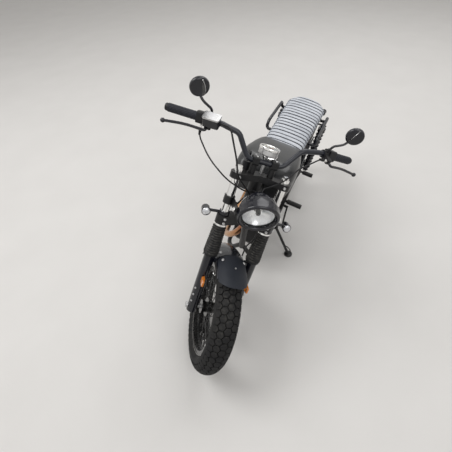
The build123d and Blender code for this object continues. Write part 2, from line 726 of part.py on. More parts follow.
def rear_mirror(side):
    """A round mirror on a bent stem, which stands on a lever perch."""
    foot = -side * (BAR_RADIUS + 18 + SEAT_GAP)
    top = -side * MIRROR_RISE
    middle = PERCH_LENGTH / 2
    route = [(0, foot, middle), (0, foot * 1.7, middle), (6, top * 0.8, middle + 34), (-2, top, middle + 52)]
    head = extrude(Circle(MIRROR_RADIUS), MIRROR_WALL)
    head = Pos(0, 0, -4) * fillet(head.edges().group_by(Axis.Z)[-1], MIRROR_WALL * 0.6)
    place = Pos(-2, top - side * MIRROR_RADIUS * 0.75, middle + 52) * Rot(0, 90 + MIRROR_TURN, 0)
    return perch_place(side) * (cord(route, MIRROR_STEM_RADIUS) + place * head)


# ---- lamps and instruments
def headlamp_shell():
    """The lamp's bowl and bezel, open at the front."""
    front = BEZEL_LENGTH
    back = LAMP_DEPTH - BEZEL_LENGTH
    seat_radius = GLASS_RADIUS + SEAT_GAP
    step = front - GLASS_WALL - SEAT_GAP
    bottom = LAMP_WALL - back
    outline = Polyline((0, LAMP_RADIUS), (front, LAMP_RADIUS + 2), (front, seat_radius), (step, seat_radius),
                       (step, GLASS_RADIUS - 4), (0, GLASS_RADIUS + 6))
    outline += ThreePointArc((0, GLASS_RADIUS + 6), (-0.52 * back, 0.8 * GLASS_RADIUS), (bottom, POLE_RADIUS))
    outline += Polyline((bottom, POLE_RADIUS), (bottom, 0), (-back, 0), (-back, LAMP_BACK_RADIUS))
    outline += ThreePointArc((-back, LAMP_BACK_RADIUS), (-0.62 * back, 0.78 * LAMP_RADIUS), (0, LAMP_RADIUS))
    return LAMP * Pos(-BEZEL_LENGTH, 0, 0) * revolve(make_face(outline), Axis.X)


def headlamp_reflector():
    """The bright bowl behind the glass, with the bulb's cap in its middle."""
    rim = GLASS_RADIUS - 4 - SEAT_GAP
    depth = 0.42 * LAMP_DEPTH
    top = -GLASS_WALL - 2 * SEAT_GAP - 1
    bowl = Line((top, rim - 2), (top, rim))
    bowl += ThreePointArc((top, rim), (-0.66 * depth - 2, 0.74 * rim), (-depth - 2, POLE_RADIUS))
    bowl += Polyline((-depth - 2, POLE_RADIUS), (-depth - 2, 0), (-depth, 0), (-depth, POLE_RADIUS))
    bowl += ThreePointArc((-depth, POLE_RADIUS), (-0.62 * depth, 0.72 * rim), (top, rim - 2))
    shell = revolve(make_face(bowl), Axis.X)
    return LAMP * (shell + rod((-depth - 1, 0, 0), (-0.4 * depth, 0, 0), BULB_RADIUS))


def headlamp_glass():
    """The lamp's slightly crowned glass."""
    inside = GLASS_CROWN - GLASS_WALL
    outline = Line((-GLASS_WALL, GLASS_RADIUS), (0, GLASS_RADIUS))
    middle = (0.75 * GLASS_CROWN, 0.5 * GLASS_RADIUS)
    outline += ThreePointArc((0, GLASS_RADIUS), middle, (GLASS_CROWN, POLE_RADIUS))
    outline += Polyline((GLASS_CROWN, POLE_RADIUS), (GLASS_CROWN, 0), (inside, 0), (inside, POLE_RADIUS))
    middle = (0.75 * GLASS_CROWN - GLASS_WALL, 0.5 * GLASS_RADIUS)
    outline += ThreePointArc((inside, POLE_RADIUS), middle, (-GLASS_WALL, GLASS_RADIUS))
    return LAMP * revolve(make_face(outline), Axis.X)


def lamp_ears():
    """The two rings on the fork tubes whose ears hold the headlamp's sides."""
    solids = []
    bore = FORK_TUBE_RADIUS + BORE_GAP
    side_gap = LAMP_RADIUS + 4
    for side in (-1, 1):
        band = Pos(FORK_OFFSET, side * FORK_SIDE) * Circle(bore + TUBE_RING_WALL)
        ear_side = side * (side_gap + LAMP_EAR_WALL / 2)
        reach = LAMP_REACH - BEZEL_LENGTH - FORK_OFFSET
        ear = Pos(FORK_OFFSET + reach / 2, ear_side) * Rectangle(reach + LAMP_EAR_WIDTH, LAMP_EAR_WALL)
        hole = Pos(FORK_OFFSET, side * FORK_SIDE) * Circle(bore)
        base = LAMP_HEIGHT - TUBE_RING_HEIGHT / 2
        solids.append(Pos(0, 0, base) * extrude(band + ear - hole, TUBE_RING_HEIGHT))
        pin_x = LAMP_REACH - BEZEL_LENGTH
        pin_start = side * (LAMP_RADIUS + 2.6)
        pin = rod((pin_x, pin_start, LAMP_HEIGHT), (pin_x, side * (side_gap + 12), LAMP_HEIGHT), 7)
        solids[-1] += pin
    return Compound(solids)


def speedometer():
    """The round gauge in its cup, on a stem above the upper clamp."""
    cup = extrude(Circle(GAUGE_RADIUS), GAUGE_DEPTH)
    cup = fillet(cup.edges().group_by(Axis.Z)[0], 8)
    cup -= Pos(0, 0, GAUGE_DEPTH - 5) * extrude(Circle(GAUGE_RADIUS - 4), 5)
    cup = Pos(GAUGE_REACH, GAUGE_SIDE, GAUGE_HEIGHT) * cup
    foot = UPPER_CLAMP_HEIGHT + UPPER_CLAMP_WALL / 2 + SEAT_GAP
    return cup + rod((GAUGE_REACH, GAUGE_SIDE, foot), (GAUGE_REACH, GAUGE_SIDE, GAUGE_HEIGHT + 9), 7)


def ignition_lock():
    """The lock's barrel on the upper clamp, with the key in it."""
    foot = UPPER_CLAMP_HEIGHT + UPPER_CLAMP_WALL / 2 + SEAT_GAP
    lock = rod((KEY_REACH, KEY_SIDE, foot), (KEY_REACH, KEY_SIDE, foot + LOCK_HEIGHT), LOCK_RADIUS)
    blade = Pos(KEY_REACH, KEY_SIDE, foot + LOCK_HEIGHT + 8) * Box(8, 2.2, 18)
    head = fillet(Box(26, 8, 30).edges().filter_by(Axis.Y), 8)
    return lock + blade + Pos(KEY_REACH, KEY_SIDE, foot + LOCK_HEIGHT + 30) * head


def signal(tip):
    """A round turn signal facing forward along X, with its middle at a point."""
    body = rod((-SIGNAL_LENGTH / 2, 0, 0), (SIGNAL_LENGTH / 2, 0, 0), SIGNAL_RADIUS)
    body = fillet(body.edges().group_by(Axis.X)[0], SIGNAL_RADIUS * 0.7)
    return Pos(*tip) * chamfer(body.edges().group_by(Axis.X)[-1], 3)


def front_signals():
    """The two front signals on stalks, each clamped round its fork tube."""
    solids = []
    height = SIGNAL_FOOT + SIGNAL_COLLAR / 2
    for side in (-1, 1):
        band = Circle(FORK_TUBE_RADIUS + BORE_GAP + TUBE_RING_WALL) - Circle(FORK_TUBE_RADIUS + BORE_GAP)
        collar = Pos(FORK_OFFSET, side * FORK_SIDE, SIGNAL_FOOT) * extrude(band, SIGNAL_COLLAR)
        inner = side * (FORK_SIDE + FORK_TUBE_RADIUS + 2)
        outer = side * (FORK_SIDE + FORK_TUBE_RADIUS + TUBE_RING_WALL + STALK_LENGTH)
        stalk = rod((FORK_OFFSET, inner, height), (FORK_OFFSET + 6, outer, height), STALK_RADIUS)
        tip = (FORK_OFFSET + 6, outer + side * SIGNAL_RADIUS * 0.8, height)
        solids.append(collar + stalk + signal(tip))
    return Compound(solids)


def fork_reflectors():
    """The two amber side reflectors on small brackets in front of the fork legs."""
    solids = []
    height = FORK_LEG_TOP * 0.58
    for side in (-1, 1):
        front = FORK_OFFSET + FORK_LEG_RADIUS + SEAT_GAP
        bracket = Pos(front + 14, side * FORK_SIDE, height) * Box(28, 4, 30)
        plate = Pos(front + 24, side * (FORK_SIDE + 6), height) * Box(44, 8, 30)
        solids.append(bracket + fillet(plate.edges().filter_by(Axis.Y), 5))
    return Compound(solids)


# ---- front fender
def fender_arch(radius, half_width, drop, wall, start, end):
    """A curved shell over a wheel, about the Y axis, between two angles from straight ahead."""
    edge = radius - drop
    outer = ThreePointArc((-half_width, edge), (0, radius), (half_width, edge))
    inner = ThreePointArc((-half_width, edge - wall), (0, radius - wall), (half_width, edge - wall))
    sides = Line((-half_width, edge), (-half_width, edge - wall))
    sides += Line((half_width, edge), (half_width, edge - wall))
    arch = revolve(make_face(outer + inner + sides), Axis.X, end - start)
    return ACROSS * Rot(180 - end, 0, 0) * arch


def fender_beads(radius, half_width, start, end):
    """The rolled beads along both edges of a fender."""
    faces = [Pos(side * half_width, radius) * Circle(FENDER_BEAD_RADIUS) for side in (-1, 1)]
    return [ACROSS * Rot(180 - end, 0, 0) * revolve(face, Axis.X, end - start) for face in faces]


def front_fender():
    """The glossy rear part of the front fender, with rolled edges and the strap that carries it."""
    radius = FRONT_RADIUS + FENDER_GAP
    arch = fender_arch(radius, FENDER_HALF_WIDTH, FENDER_DROP, FENDER_WALL, FENDER_START, FENDER_END)
    bead_radius = radius - FENDER_DROP - FENDER_WALL / 2
    arch = arch.fuse(*fender_beads(bead_radius, FENDER_HALF_WIDTH, FENDER_START, FENDER_END))
    span = math.degrees(STRAP_WIDTH / radius)
    strap_end = STRAP_ANGLE + span / 2
    strap = fender_arch(radius + STRAP_WALL - 0.5, FENDER_HALF_WIDTH + 3, FENDER_DROP + 3, STRAP_WALL,
                        STRAP_ANGLE - span / 2, strap_end)
    arch += strap
    reach = radius - FENDER_DROP - 6
    for side in (-1, 1):
        tab = Pos(0, side * (FENDER_HALF_WIDTH + FORK_SIDE) / 2, reach) * Box(
            STRAP_WIDTH, FORK_SIDE - FENDER_HALF_WIDTH, 26)
        leg = rod((0, side * FORK_SIDE, 0), (0, side * FORK_SIDE, 2 * reach), FORK_LEG_RADIUS + SEAT_GAP)
        arch += tab - leg
    middle = math.radians((FENDER_START + PLATE_END) / 2)
    along = Vector(math.cos(middle), 0, math.sin(middle))
    arch += rod(along * (radius - 1), along * (radius + PLATE_LIFT - 2.5 * SEAT_GAP), PLATE_BUSH_RADIUS)
    return FRONT_WHEEL * arch


def fender_plate():
    """The separate front plate of the fender, with its two front corners cut round."""
    radius = FRONT_RADIUS + FENDER_GAP + PLATE_LIFT + FENDER_WALL
    plate = fender_arch(radius, FENDER_HALF_WIDTH - 2, FENDER_DROP, FENDER_WALL, PLATE_START, PLATE_END)
    middle = (PLATE_START + PLATE_END) / 2
    length = math.radians(PLATE_END - PLATE_START) * radius
    nose = Pos(length / 2 - 0.45 * length, 0) * Ellipse(0.45 * length, FENDER_HALF_WIDTH + 6)
    tail = Pos(-0.45 * length, 0) * Rectangle(length, 4 * FENDER_HALF_WIDTH)
    cutter = extrude(nose + tail, radius)
    direction = math.radians(middle)
    reach = 0.5 * radius
    place = Pos(reach * math.cos(direction), 0, reach * math.sin(direction)) * Rot(0, 90 - middle, 0)
    return FRONT_WHEEL * (plate & (place * cutter))


# ---- hoses and cables on the steering
def lever_side_point(side, x, up, out):
    """A point beside a lever perch: forward, up and outward from its inner end."""
    place = perch_place(side) * Pos(x, -side * up, out)
    return tuple(place.position)


def lamp_back_point(side, up, off=SEAT_GAP):
    """A point at a distance off the flat back of the headlamp."""
    place = LAMP * Pos(-LAMP_DEPTH - off, side, up)
    return tuple(place.position)


def brake_hose():
    """The brake hose from the reservoir past the headlamp to the caliper."""
    x, z = caliper_centre()
    top = z + CALIPER_LENGTH / 2 + SEAT_GAP
    reach = BAR_RADIUS + 28
    rise = 10 + MASTER_HEIGHT / 2
    end = (PERCH_LENGTH - MASTER_LENGTH) / 2
    start = lever_side_point(-1, reach, rise, end - 17)
    before = lever_side_point(-1, reach, rise, end - 60)
    return cord([start, before, (92, -132, 770), (92, -112, 715), (66, -40, 655), (58, 20, 600), (76, 58, 530),
                 (78, 60, 450), (24, 60, 385), (-28, 76, 330), (-44, 86, 235),
                 (x, FRONT_DISC_OFFSET + 8, top + 30), (x, FRONT_DISC_OFFSET + 8, top)], HOSE_RADIUS)


def clutch_cable():
    """The clutch cable from the left lever to the back of the headlamp."""
    reach = BAR_RADIUS + PERCH_PIVOT - 6
    start = lever_side_point(1, reach, 0, -SEAT_GAP)
    before = lever_side_point(1, reach, 0, -40)
    return cord([start, before, (84, 118, 800), (84, 92, 750), (78, 50, 708), lamp_back_point(14, 14, 34),
                 lamp_back_point(14, 14)], CABLE_RADIUS)


def throttle_cable():
    """The throttle cable from the right housing to the back of the headlamp."""
    place = bar_end_frame(-1, housing_start() - HOUSING_LENGTH / 2)
    start = tuple((place * Pos(0, -HOUSING_RADIUS - SEAT_GAP, 0)).position)
    below = tuple((place * Pos(0, -HOUSING_RADIUS - 46, 0)).position)
    return cord([start, below, (40, -230, 740), (80, -150, 690), (76, -85, 664), (52, -40, 648),
                 lamp_back_point(-10, 4, 30), lamp_back_point(-10, 4)], CABLE_RADIUS)


# ---- frame
def backbone_line():
    """The backbone's route from the head tube to the rear cross tube."""
    start = on_steering_axis((HEAD_LOW + HEAD_HIGH) / 2 + 20)
    return [start, (800 * SPAN, 0, RAIL_HEIGHT + 30), (TANK_REAR, 0, RAIL_HEIGHT - 28),
            (PIVOT_X - 5, 0, RAIL_HEIGHT - 55)]


def cradle_line():
    """The left cradle tube's route, from the downtube under the engine to the seat rail."""
    side = CRADLE_SIDE
    low = CRADLE_Z
    front = [(928 * SPAN, 8, low + 128), (908 * SPAN, side * 0.6, low + 36), (846 * SPAN, side, low)]
    return front + [(PIVOT_X + 40, side, low), (PIVOT_X - 10, side, PIVOT_Z - 50),
                    (PIVOT_X - 10, side, RAIL_HEIGHT - 197), (PIVOT_X + 5, RAIL_SIDE, RAIL_HEIGHT)]


def seat_rail_line():
    """The whole loop of the seat rails, from the backbone round the back of the seat."""
    half = [(560 * SPAN, 20, RAIL_HEIGHT), (500 * SPAN, RAIL_SIDE - 6, RAIL_HEIGHT),
            (400 * SPAN, RAIL_SIDE, RAIL_HEIGHT), (80 * SPAN, RAIL_SIDE, RAIL_HEIGHT),
            (RAIL_REAR, 0.55 * RAIL_SIDE, RAIL_HEIGHT)]
    return half + [(x, -y, z) for x, y, z in half[::-1]]


def main_frame():
    """The welded frame: head tube, backbone, downtube, cradle, rails, struts and their lugs."""
    frame = rod(on_steering_axis(HEAD_LOW), on_steering_axis(HEAD_HIGH), HEAD_TUBE_RADIUS)
    tubes = [cord(backbone_line(), BACKBONE_RADIUS), cord(seat_rail_line(), RAIL_RADIUS)]
    tubes.append(rod(on_steering_axis(HEAD_LOW + 75), (922 * SPAN, 0, CRADLE_Z + 112), DOWNTUBE_RADIUS))
    left = [cord(cradle_line(), CRADLE_RADIUS)]
    strut_foot = (PIVOT_X - 10, CRADLE_SIDE, PIVOT_Z + 190)
    left.append(rod(strut_foot, (SHOCK_TOP_X + 20, RAIL_SIDE, RAIL_HEIGHT - 4), STRUT_RADIUS))
    peg_strut = [(PIVOT_X - 12, CRADLE_SIDE + 2, PILLION_Z + 55), (PIVOT_X - 60, CRADLE_SIDE + 10, PILLION_Z + 40),
                 (PILLION_X, CRADLE_SIDE + 17, PILLION_Z)]
    left.append(cord(peg_strut, STRUT_RADIUS - 1))
    left.append(Pos(SHOCK_TOP_X, RAIL_SIDE, RAIL_HEIGHT - 32) * Box(36, 14, 74))
    left.append(rod((SHOCK_TOP_X, RAIL_SIDE, SHOCK_TOP_Z), (SHOCK_TOP_X, SHOCK_OFFSET + 20, SHOCK_TOP_Z),
                    SHOCK_PIN_RADIUS))
    for part in left:
        tubes += [part, mirror(part, about=Plane.XZ)]
    half = CRADLE_SIDE
    tubes.append(rod((PIVOT_X, -half, PIVOT_Z), (PIVOT_X, half, PIVOT_Z), PIVOT_BOLT_RADIUS))
    brace = PIVOT_Z + 270
    top = RAIL_HEIGHT - 4
    tubes.append(rod((PIVOT_X - 8, -half, brace), (PIVOT_X - 8, half, brace), STRUT_RADIUS))
    tubes.append(rod((PIVOT_X - 4, -RAIL_SIDE, top), (PIVOT_X - 4, RAIL_SIDE, top), RAIL_RADIUS))
    tubes.append(rod((PIVOT_X - 4, 0, RAIL_HEIGHT - 60), (PIVOT_X - 4, 0, top), RAIL_RADIUS))
    for x in (ENGINE_REAR + 70, ENGINE_FRONT - 50):
        tubes.append(rod((x, -half, CRADLE_Z), (x, half, CRADLE_Z), STRUT_RADIUS))
        height = ENGINE_BOTTOM - SEAT_GAP - CRADLE_Z + 4
        tubes.append(Pos(x, 0, CRADLE_Z - 4 + height / 2) * Box(34, 1.4 * half, height))
    tubes.append(Pos(STAND_X, half, CRADLE_Z + 4) * Box(56, 16, 20))
    tubes.append(stand_pin())
    frame = frame.fuse(*tubes)
    reach = STEM_RADIUS + PIN_GAP
    return frame - rod(on_steering_axis(HEAD_LOW - 5), on_steering_axis(HEAD_HIGH + 5), reach)


def swingarm():
    """The swingarm: pivot tube, two box arms, axle eyes and the shocks' lower pins."""
    inner = CRADLE_SIDE - CRADLE_RADIUS - SEAT_GAP
    arm = rod((PIVOT_X, -inner, PIVOT_Z), (PIVOT_X, inner, PIVOT_Z), PIVOT_TUBE_RADIUS)
    clear = PIVOT_X - 10 - CRADLE_RADIUS - MOVE_GAP
    for side in (-1, 1):
        web = Pos((clear - 60 + PIVOT_X) / 2, side * (inner - 11), PIVOT_Z) * Box(PIVOT_X - clear + 60, 22, 34)
        web += Pos(clear - 32, side * inner, PIVOT_Z - 1) * Box(56, 20, 32)
        beam = Pos(clear / 2 - 14, side * ARM_OFFSET, (PIVOT_Z + REAR_RADIUS) / 2)
        beam = beam * Rot(0, -math.degrees(math.atan2(PIVOT_Z - REAR_RADIUS, clear)), 0)
        beam = beam * fillet(Box(clear + 26, ARM_WIDTH, ARM_HEIGHT).edges().filter_by(Axis.X), 6)
        arm += web + beam
        arm += rod((0, side * (ARM_OFFSET - ARM_WIDTH / 2), REAR_RADIUS),
                   (0, side * (ARM_OFFSET + ARM_WIDTH / 2), REAR_RADIUS), 28)
        foot = (SHOCK_FOOT_X, side * ARM_OFFSET, REAR_RADIUS)
        arm += rod(foot, (SHOCK_FOOT_X, side * (SHOCK_OFFSET + 20), REAR_RADIUS), SHOCK_PIN_RADIUS)
    arm -= rod((PIVOT_X, -inner - 1, PIVOT_Z), (PIVOT_X, inner + 1, PIVOT_Z), PIVOT_BOLT_RADIUS + PIN_GAP)
    reach = ARM_OFFSET + ARM_WIDTH
    arm -= rod((0, -reach, REAR_RADIUS), (0, reach, REAR_RADIUS), AXLE_RADIUS + PIN_GAP)
    lug_inner = -(REAR_DISC_OFFSET - REAR_CALIPER_WIDTH / 2 - SEAT_GAP)
    x, z = rear_caliper_centre()
    lug = Pos(x, -(lug_inner + ARM_OFFSET + 6) / 2, z - 18) * Box(30, ARM_OFFSET + 6 - lug_inner, 60)
    return arm + lug


def rear_caliper_centre():
    """The rear caliper's middle, as (forward, up) in the upright frame."""
    reach = REAR_DISC_RADIUS - REAR_DISC_BAND / 2
    angle = math.radians(REAR_CALIPER_ANGLE)
    return (reach * math.cos(angle), REAR_RADIUS + reach * math.sin(angle))


def rear_caliper():
    """The rear brake caliper over the disc, seated on the right arm's lug."""
    x, z = rear_caliper_centre()
    block = fillet(Box(REAR_CALIPER_LENGTH, REAR_CALIPER_WIDTH, 44).edges().filter_by(Axis.Y), 7)
    block = Pos(x, REAR_DISC_OFFSET, z) * block
    slot = ACROSS * ring(REAR_DISC_RADIUS + MOVE_GAP, 1, REAR_DISC_OFFSET - DISC_WALL / 2 - MOVE_GAP,
                         DISC_WALL + 2 * MOVE_GAP)
    return block - REAR_WHEEL * slot


def rear_shocks():
    """The two sprung shocks, each an eye, a damper, its coils and an upper eye."""
    top = Vector(SHOCK_TOP_X, 0, SHOCK_TOP_Z)
    foot = Vector(SHOCK_FOOT_X, 0, REAR_RADIUS)
    along = (top - foot).normalized()
    length = (top - foot).length
    shock = rod((0, -14, 0), (0, 14, 0), SHOCK_EYE_RADIUS)
    shock += rod((0, -14, length), (0, 14, length), SHOCK_EYE_RADIUS)
    shock += rod((0, 0, 4), (0, 0, length - 4), DAMPER_RADIUS * 0.5)
    shock += rod((0, 0, SHOCK_EYE_RADIUS), (0, 0, 0.42 * length), DAMPER_RADIUS)
    low = SHOCK_EYE_RADIUS + 22
    high = length - SHOCK_EYE_RADIUS - 14
    shock += rod((0, 0, low - 8), (0, 0, low), SPRING_RADIUS)
    shock += rod((0, 0, high), (0, 0, high + 8), SPRING_RADIUS)
    shock += rod((0, 0, low), (0, 0, high), DAMPER_RADIUS + 1)
    pitch = (high - low) / SPRING_TURNS
    coils = [Pos(0, 0, low + pitch * (index + 0.5)) * Torus(SPRING_RADIUS - SPRING_WIRE_RADIUS, SPRING_WIRE_RADIUS)
             for index in range(SPRING_TURNS)]
    shock = shock.fuse(*coils)
    for height in (0, length):
        shock -= rod((0, -20, height), (0, 20, height), SHOCK_PIN_RADIUS + PIN_GAP)
    tilt = math.degrees(math.atan2(along.X, along.Z))
    left = Pos(SHOCK_FOOT_X, SHOCK_OFFSET, REAR_RADIUS) * Rot(0, tilt, 0) * shock
    return both_sides(left)


def drive_chain():
    """The drive chain as one closed loop round both sprockets."""
    def loop(extra):
        front = Pos(DRIVE_X, PIVOT_Z) * Circle(DRIVE_SPROCKET_RADIUS + RUN_GAP + extra)
        rear = Pos(0, REAR_RADIUS) * Circle(SPROCKET_RADIUS + RUN_GAP + extra)
        return make_hull((front + rear).edges())
    face = Plane(origin=(0, CHAIN_OFFSET + CHAIN_WIDTH / 2, 0), x_dir=(1, 0, 0), z_dir=(0, -1, 0))
    return extrude(face * (loop(CHAIN_HEIGHT) - loop(0)), CHAIN_WIDTH)


# ---- engine


def engine_block():
    """The crankcase as one heavy block, with round side covers and the drive sprocket."""
    middle = (ENGINE_FRONT + ENGINE_REAR) / 2
    height = ENGINE_TOP - ENGINE_BOTTOM
    block = Box(ENGINE_FRONT - ENGINE_REAR, 2 * ENGINE_HALF_WIDTH, height)
    block = fillet(block.edges().filter_by(Axis.Y), 0.16 * height)
    block = Pos(middle, 0, ENGINE_BOTTOM + height / 2) * block
    pad = FIN_CORE + 18
    block += CYLINDER * Pos(0, 0, -30) * Box(pad, pad, 60)
    inner = CHAIN_OFFSET - CHAIN_WIDTH / 2 - 3
    reach = DRIVE_SPROCKET_RADIUS + CHAIN_HEIGHT + 9
    block -= Pos(DRIVE_X - 10, inner + 50, PIVOT_Z) * Box(2 * reach + 20, 100, 2 * reach + 16)
    cover_z = ENGINE_BOTTOM + COVER_RADIUS + 3
    cover_x = DRIVE_X + reach + COVER_RADIUS + 2
    start = ENGINE_HALF_WIDTH - 1
    for side in (-1, 1):
        face = side * (start + COVER_DEPTH)
        cover = rod((cover_x, side * start, cover_z), (cover_x, face, cover_z), COVER_RADIUS)
        outer = cover.edges().group_by(Axis.Y)[-1 if side > 0 else 0]
        block += fillet(outer, 0.3 * COVER_DEPTH)
        face = side * (start + 20)
        small = rod((cover_x + 92, side * start, cover_z - 4), (cover_x + 92, face, cover_z - 4), 62)
        block += small
    block += rod((DRIVE_X, inner - 20, PIVOT_Z), (DRIVE_X, CHAIN_OFFSET + 6, PIVOT_Z), 11)
    start_y = CHAIN_OFFSET - SPROCKET_WALL / 2
    end_y = start_y + SPROCKET_WALL
    return block + rod((DRIVE_X, start_y, PIVOT_Z), (DRIVE_X, end_y, PIVOT_Z), DRIVE_SPROCKET_RADIUS)


def fins(size, bottom, count):
    """A stack of square cooling fins, each with rounded corners."""
    outline = fillet(Rectangle(size, size).vertices(), 14)
    return [Pos(0, 0, bottom + FIN_PITCH * (index + 0.5)) * extrude(outline, FIN_WALL) for index in range(count)]


def engine_cylinder():
    """The finned cylinder, tilted forward on its pad."""
    core = fillet(Box(FIN_CORE, FIN_CORE, CYLINDER_HEIGHT).edges().filter_by(Axis.Z), 16)
    core = Pos(0, 0, SEAT_GAP + CYLINDER_HEIGHT / 2) * core
    return CYLINDER * core.fuse(*fins(FIN_SIZE, SEAT_GAP, FIN_COUNT))


def engine_head():
    """The finned head with its cover and its two ports."""
    core = fillet(Box(FIN_CORE, FIN_CORE, HEAD_HEIGHT).edges().filter_by(Axis.Z), 16)
    core = Pos(0, 0, HEAD_BOTTOM + HEAD_HEIGHT / 2) * core
    count = int(0.62 * HEAD_HEIGHT / FIN_PITCH)
    core = core.fuse(*fins(FIN_SIZE - 8, HEAD_BOTTOM, count))
    cover = Box(0.8 * FIN_CORE, 1.1 * FIN_CORE, 34)
    cover = fillet(cover.edges().group_by(Axis.Z)[-1], 12)
    core += Pos(0, 0, HEAD_BOTTOM + HEAD_HEIGHT + 10) * cover
    core += rod((0, 0, PORT_HEIGHT), (PORT_FACE, 0, PORT_HEIGHT), PORT_RADIUS)
    core += rod((0, 0, PORT_HEIGHT), (-PORT_FACE, 0, PORT_HEIGHT), PORT_RADIUS)
    return CYLINDER * core


def intake():
    """The carburettor behind the head and the air filter's box behind it."""
    throat = CYLINDER * rod((-PORT_FACE - SEAT_GAP, 0, PORT_HEIGHT), (-PORT_FACE - 70, 0, PORT_HEIGHT), 19)
    bowl_place = (CYLINDER * Pos(-PORT_FACE - 32, 0, PORT_HEIGHT)).position
    bowl = Pos(bowl_place.X, 0, bowl_place.Z - 30) * fillet(Box(46, 48, 50).edges(), 5)
    body = Pos(bowl_place.X, 0, bowl_place.Z) * fillet(Box(44, 50, 56).edges(), 6)
    front = (CYLINDER * Pos(-PORT_FACE - 60, 0, PORT_HEIGHT)).position.X
    back = PIVOT_X - 8 + STRUT_RADIUS + SEAT_GAP
    box = fillet(Box(front - back, FILTER_SIZE, FILTER_SIZE).edges(), 14)
    box = Pos((front + back) / 2, 0, PIVOT_Z + 275) * box
    return throat + bowl + body + box


# ---- exhaust
def exhaust_header():
    """The exhaust's front pipe, from the head's port down and back under the right side."""
    port = (CYLINDER * Pos(PORT_FACE + SEAT_GAP, 0, PORT_HEIGHT)).position
    ahead = (CYLINDER * Pos(PORT_FACE + 62, 0, PORT_HEIGHT)).position
    route = [tuple(port), tuple(ahead), (ahead.X + 46, -34, ahead.Z - 88), (ahead.X + 20, -84, CRADLE_Z + 170),
             (846 * SPAN, -136, SILENCER_Z + 15), (760 * SPAN, -152, SILENCER_Z - 9),
             (600 * SPAN, -154, SILENCER_Z - 13), HEADER_END]
    return cord(route, HEADER_RADIUS)


def silencer():
    """The silencer low on the right, with its cone, end cap and hanger."""
    front = Vector(SILENCER_FRONT, SILENCER_SIDE, SILENCER_Z)
    back = front + Vector(-SILENCER_LENGTH, 0, SILENCER_RISE)
    along = (back - front).normalized()
    body = rod(front, back, SILENCER_RADIUS)
    body = fillet(body.edges(), 9)
    tip = rod(back, back + along * 26, 17)
    hanger_top = PILLION_Z - (STRUT_RADIUS - 1) - SEAT_GAP
    hanger_foot = SILENCER_Z + 15
    hanger = Box(30, 8, hanger_top - hanger_foot)
    hanger = Pos(PILLION_X, -(CRADLE_SIDE + 25), (hanger_foot + hanger_top) / 2) * hanger
    end = Vector(*HEADER_END)
    neck = rod(front + Vector(-4, 3, 0), end - (end - front).normalized(), HEADER_RADIUS + 4)
    return body + tip + hanger + neck


# ---- tank, seat and covers
def fuel_tank():
    """The fuel tank: a rounded form over the backbone, with a tunnel underneath."""
    span = TANK_FRONT - TANK_REAR
    height = TANK_TOP - TANK_BOTTOM
    stations = [(0.0, 0.74, 0.52), (0.28, 0.90, 0.80), (0.6, 1.0, 0.98), (0.86, 0.97, 1.0), (1.0, 0.86, 0.80)]
    faces = []
    for along, width, tall in stations:
        size = (height * tall, 2 * TANK_HALF_WIDTH * width)
        origin = (TANK_REAR + span * along, 0, TANK_BOTTOM + size[0] / 2)
        plane = Plane(origin=origin, x_dir=(0, 0, -1), z_dir=(1, 0, 0))
        faces.append(plane * RectangleRounded(size[0], size[1], 0.32 * size[0]))
    tank = loft(faces)
    reach = BACKBONE_RADIUS + SEAT_GAP
    line = backbone_line()
    far = [(x, 0, z) for x, _, z in line]
    tank -= cord(far, reach)
    outline = [(x, z) for x, _, z in line] + [(line[-1][0], TANK_BOTTOM - 80), (line[0][0], TANK_BOTTOM - 80)]
    side = Plane(origin=(0, reach, 0), x_dir=(1, 0, 0), z_dir=(0, -1, 0))
    slot = side * make_face(Polyline(*outline, close=True))
    tank -= extrude(slot, 2 * reach)
    return tank - Pos(CAP_X, 0, TANK_TOP) * extrude(Circle(CAP_RADIUS + 3), 40)


def tank_cap():
    """The round screw cap on top of the tank."""
    cap = Pos(CAP_X, 0, TANK_TOP + SEAT_GAP) * extrude(Circle(CAP_RADIUS), CAP_HEIGHT)
    return fillet(cap.edges().group_by(Axis.Z)[-1], 4)


def seat():
    """The seat's cushion as one closed form with a rounded back."""
    front = TANK_REAR - SEAT_GAP
    back = SEAT_REAR
    knee = back + 0.9 * SEAT_HALF_WIDTH
    outline = Polyline((knee, -SEAT_HALF_WIDTH), (front, -SEAT_FRONT_HALF_WIDTH), (front, SEAT_FRONT_HALF_WIDTH),
                       (knee, SEAT_HALF_WIDTH))
    outline += ThreePointArc((knee, SEAT_HALF_WIDTH), (back, 0), (knee, -SEAT_HALF_WIDTH))
    cushion = Pos(0, 0, SEAT_BASE) * extrude(make_face(outline), SEAT_THICKNESS)
    return fillet(cushion.edges().group_by(Axis.Z)[-1], 0.3 * SEAT_THICKNESS)


def side_panels():
    """The two side covers under the seat, against the frame's uprights."""
    face = CRADLE_SIDE + CRADLE_RADIUS + SEAT_GAP
    x = PIVOT_X + 25
    z = RAIL_HEIGHT - 14
    corners = [(x, z), (x - PANEL_LENGTH, z), (x - 0.62 * PANEL_LENGTH, z - 0.8 * PANEL_HEIGHT),
               (x - 0.2 * PANEL_LENGTH, z - PANEL_HEIGHT), (x, z - PANEL_HEIGHT)]
    plane = Plane(origin=(0, face, 0), x_dir=(1, 0, 0), z_dir=(0, -1, 0))
    outline = make_face(Polyline(*corners, close=True))
    outline = fillet(outline.vertices(), 16)
    boss_z = z - 0.94 * PANEL_HEIGHT
    foot = (PIVOT_X - 10, face - PANEL_BOSS_DEPTH, boss_z)
    boss = rod(foot, (PIVOT_X - 10, face + 1, boss_z), PANEL_BOSS_RADIUS)
    return both_sides(extrude(plane * outline, -PANEL_WALL) + boss)


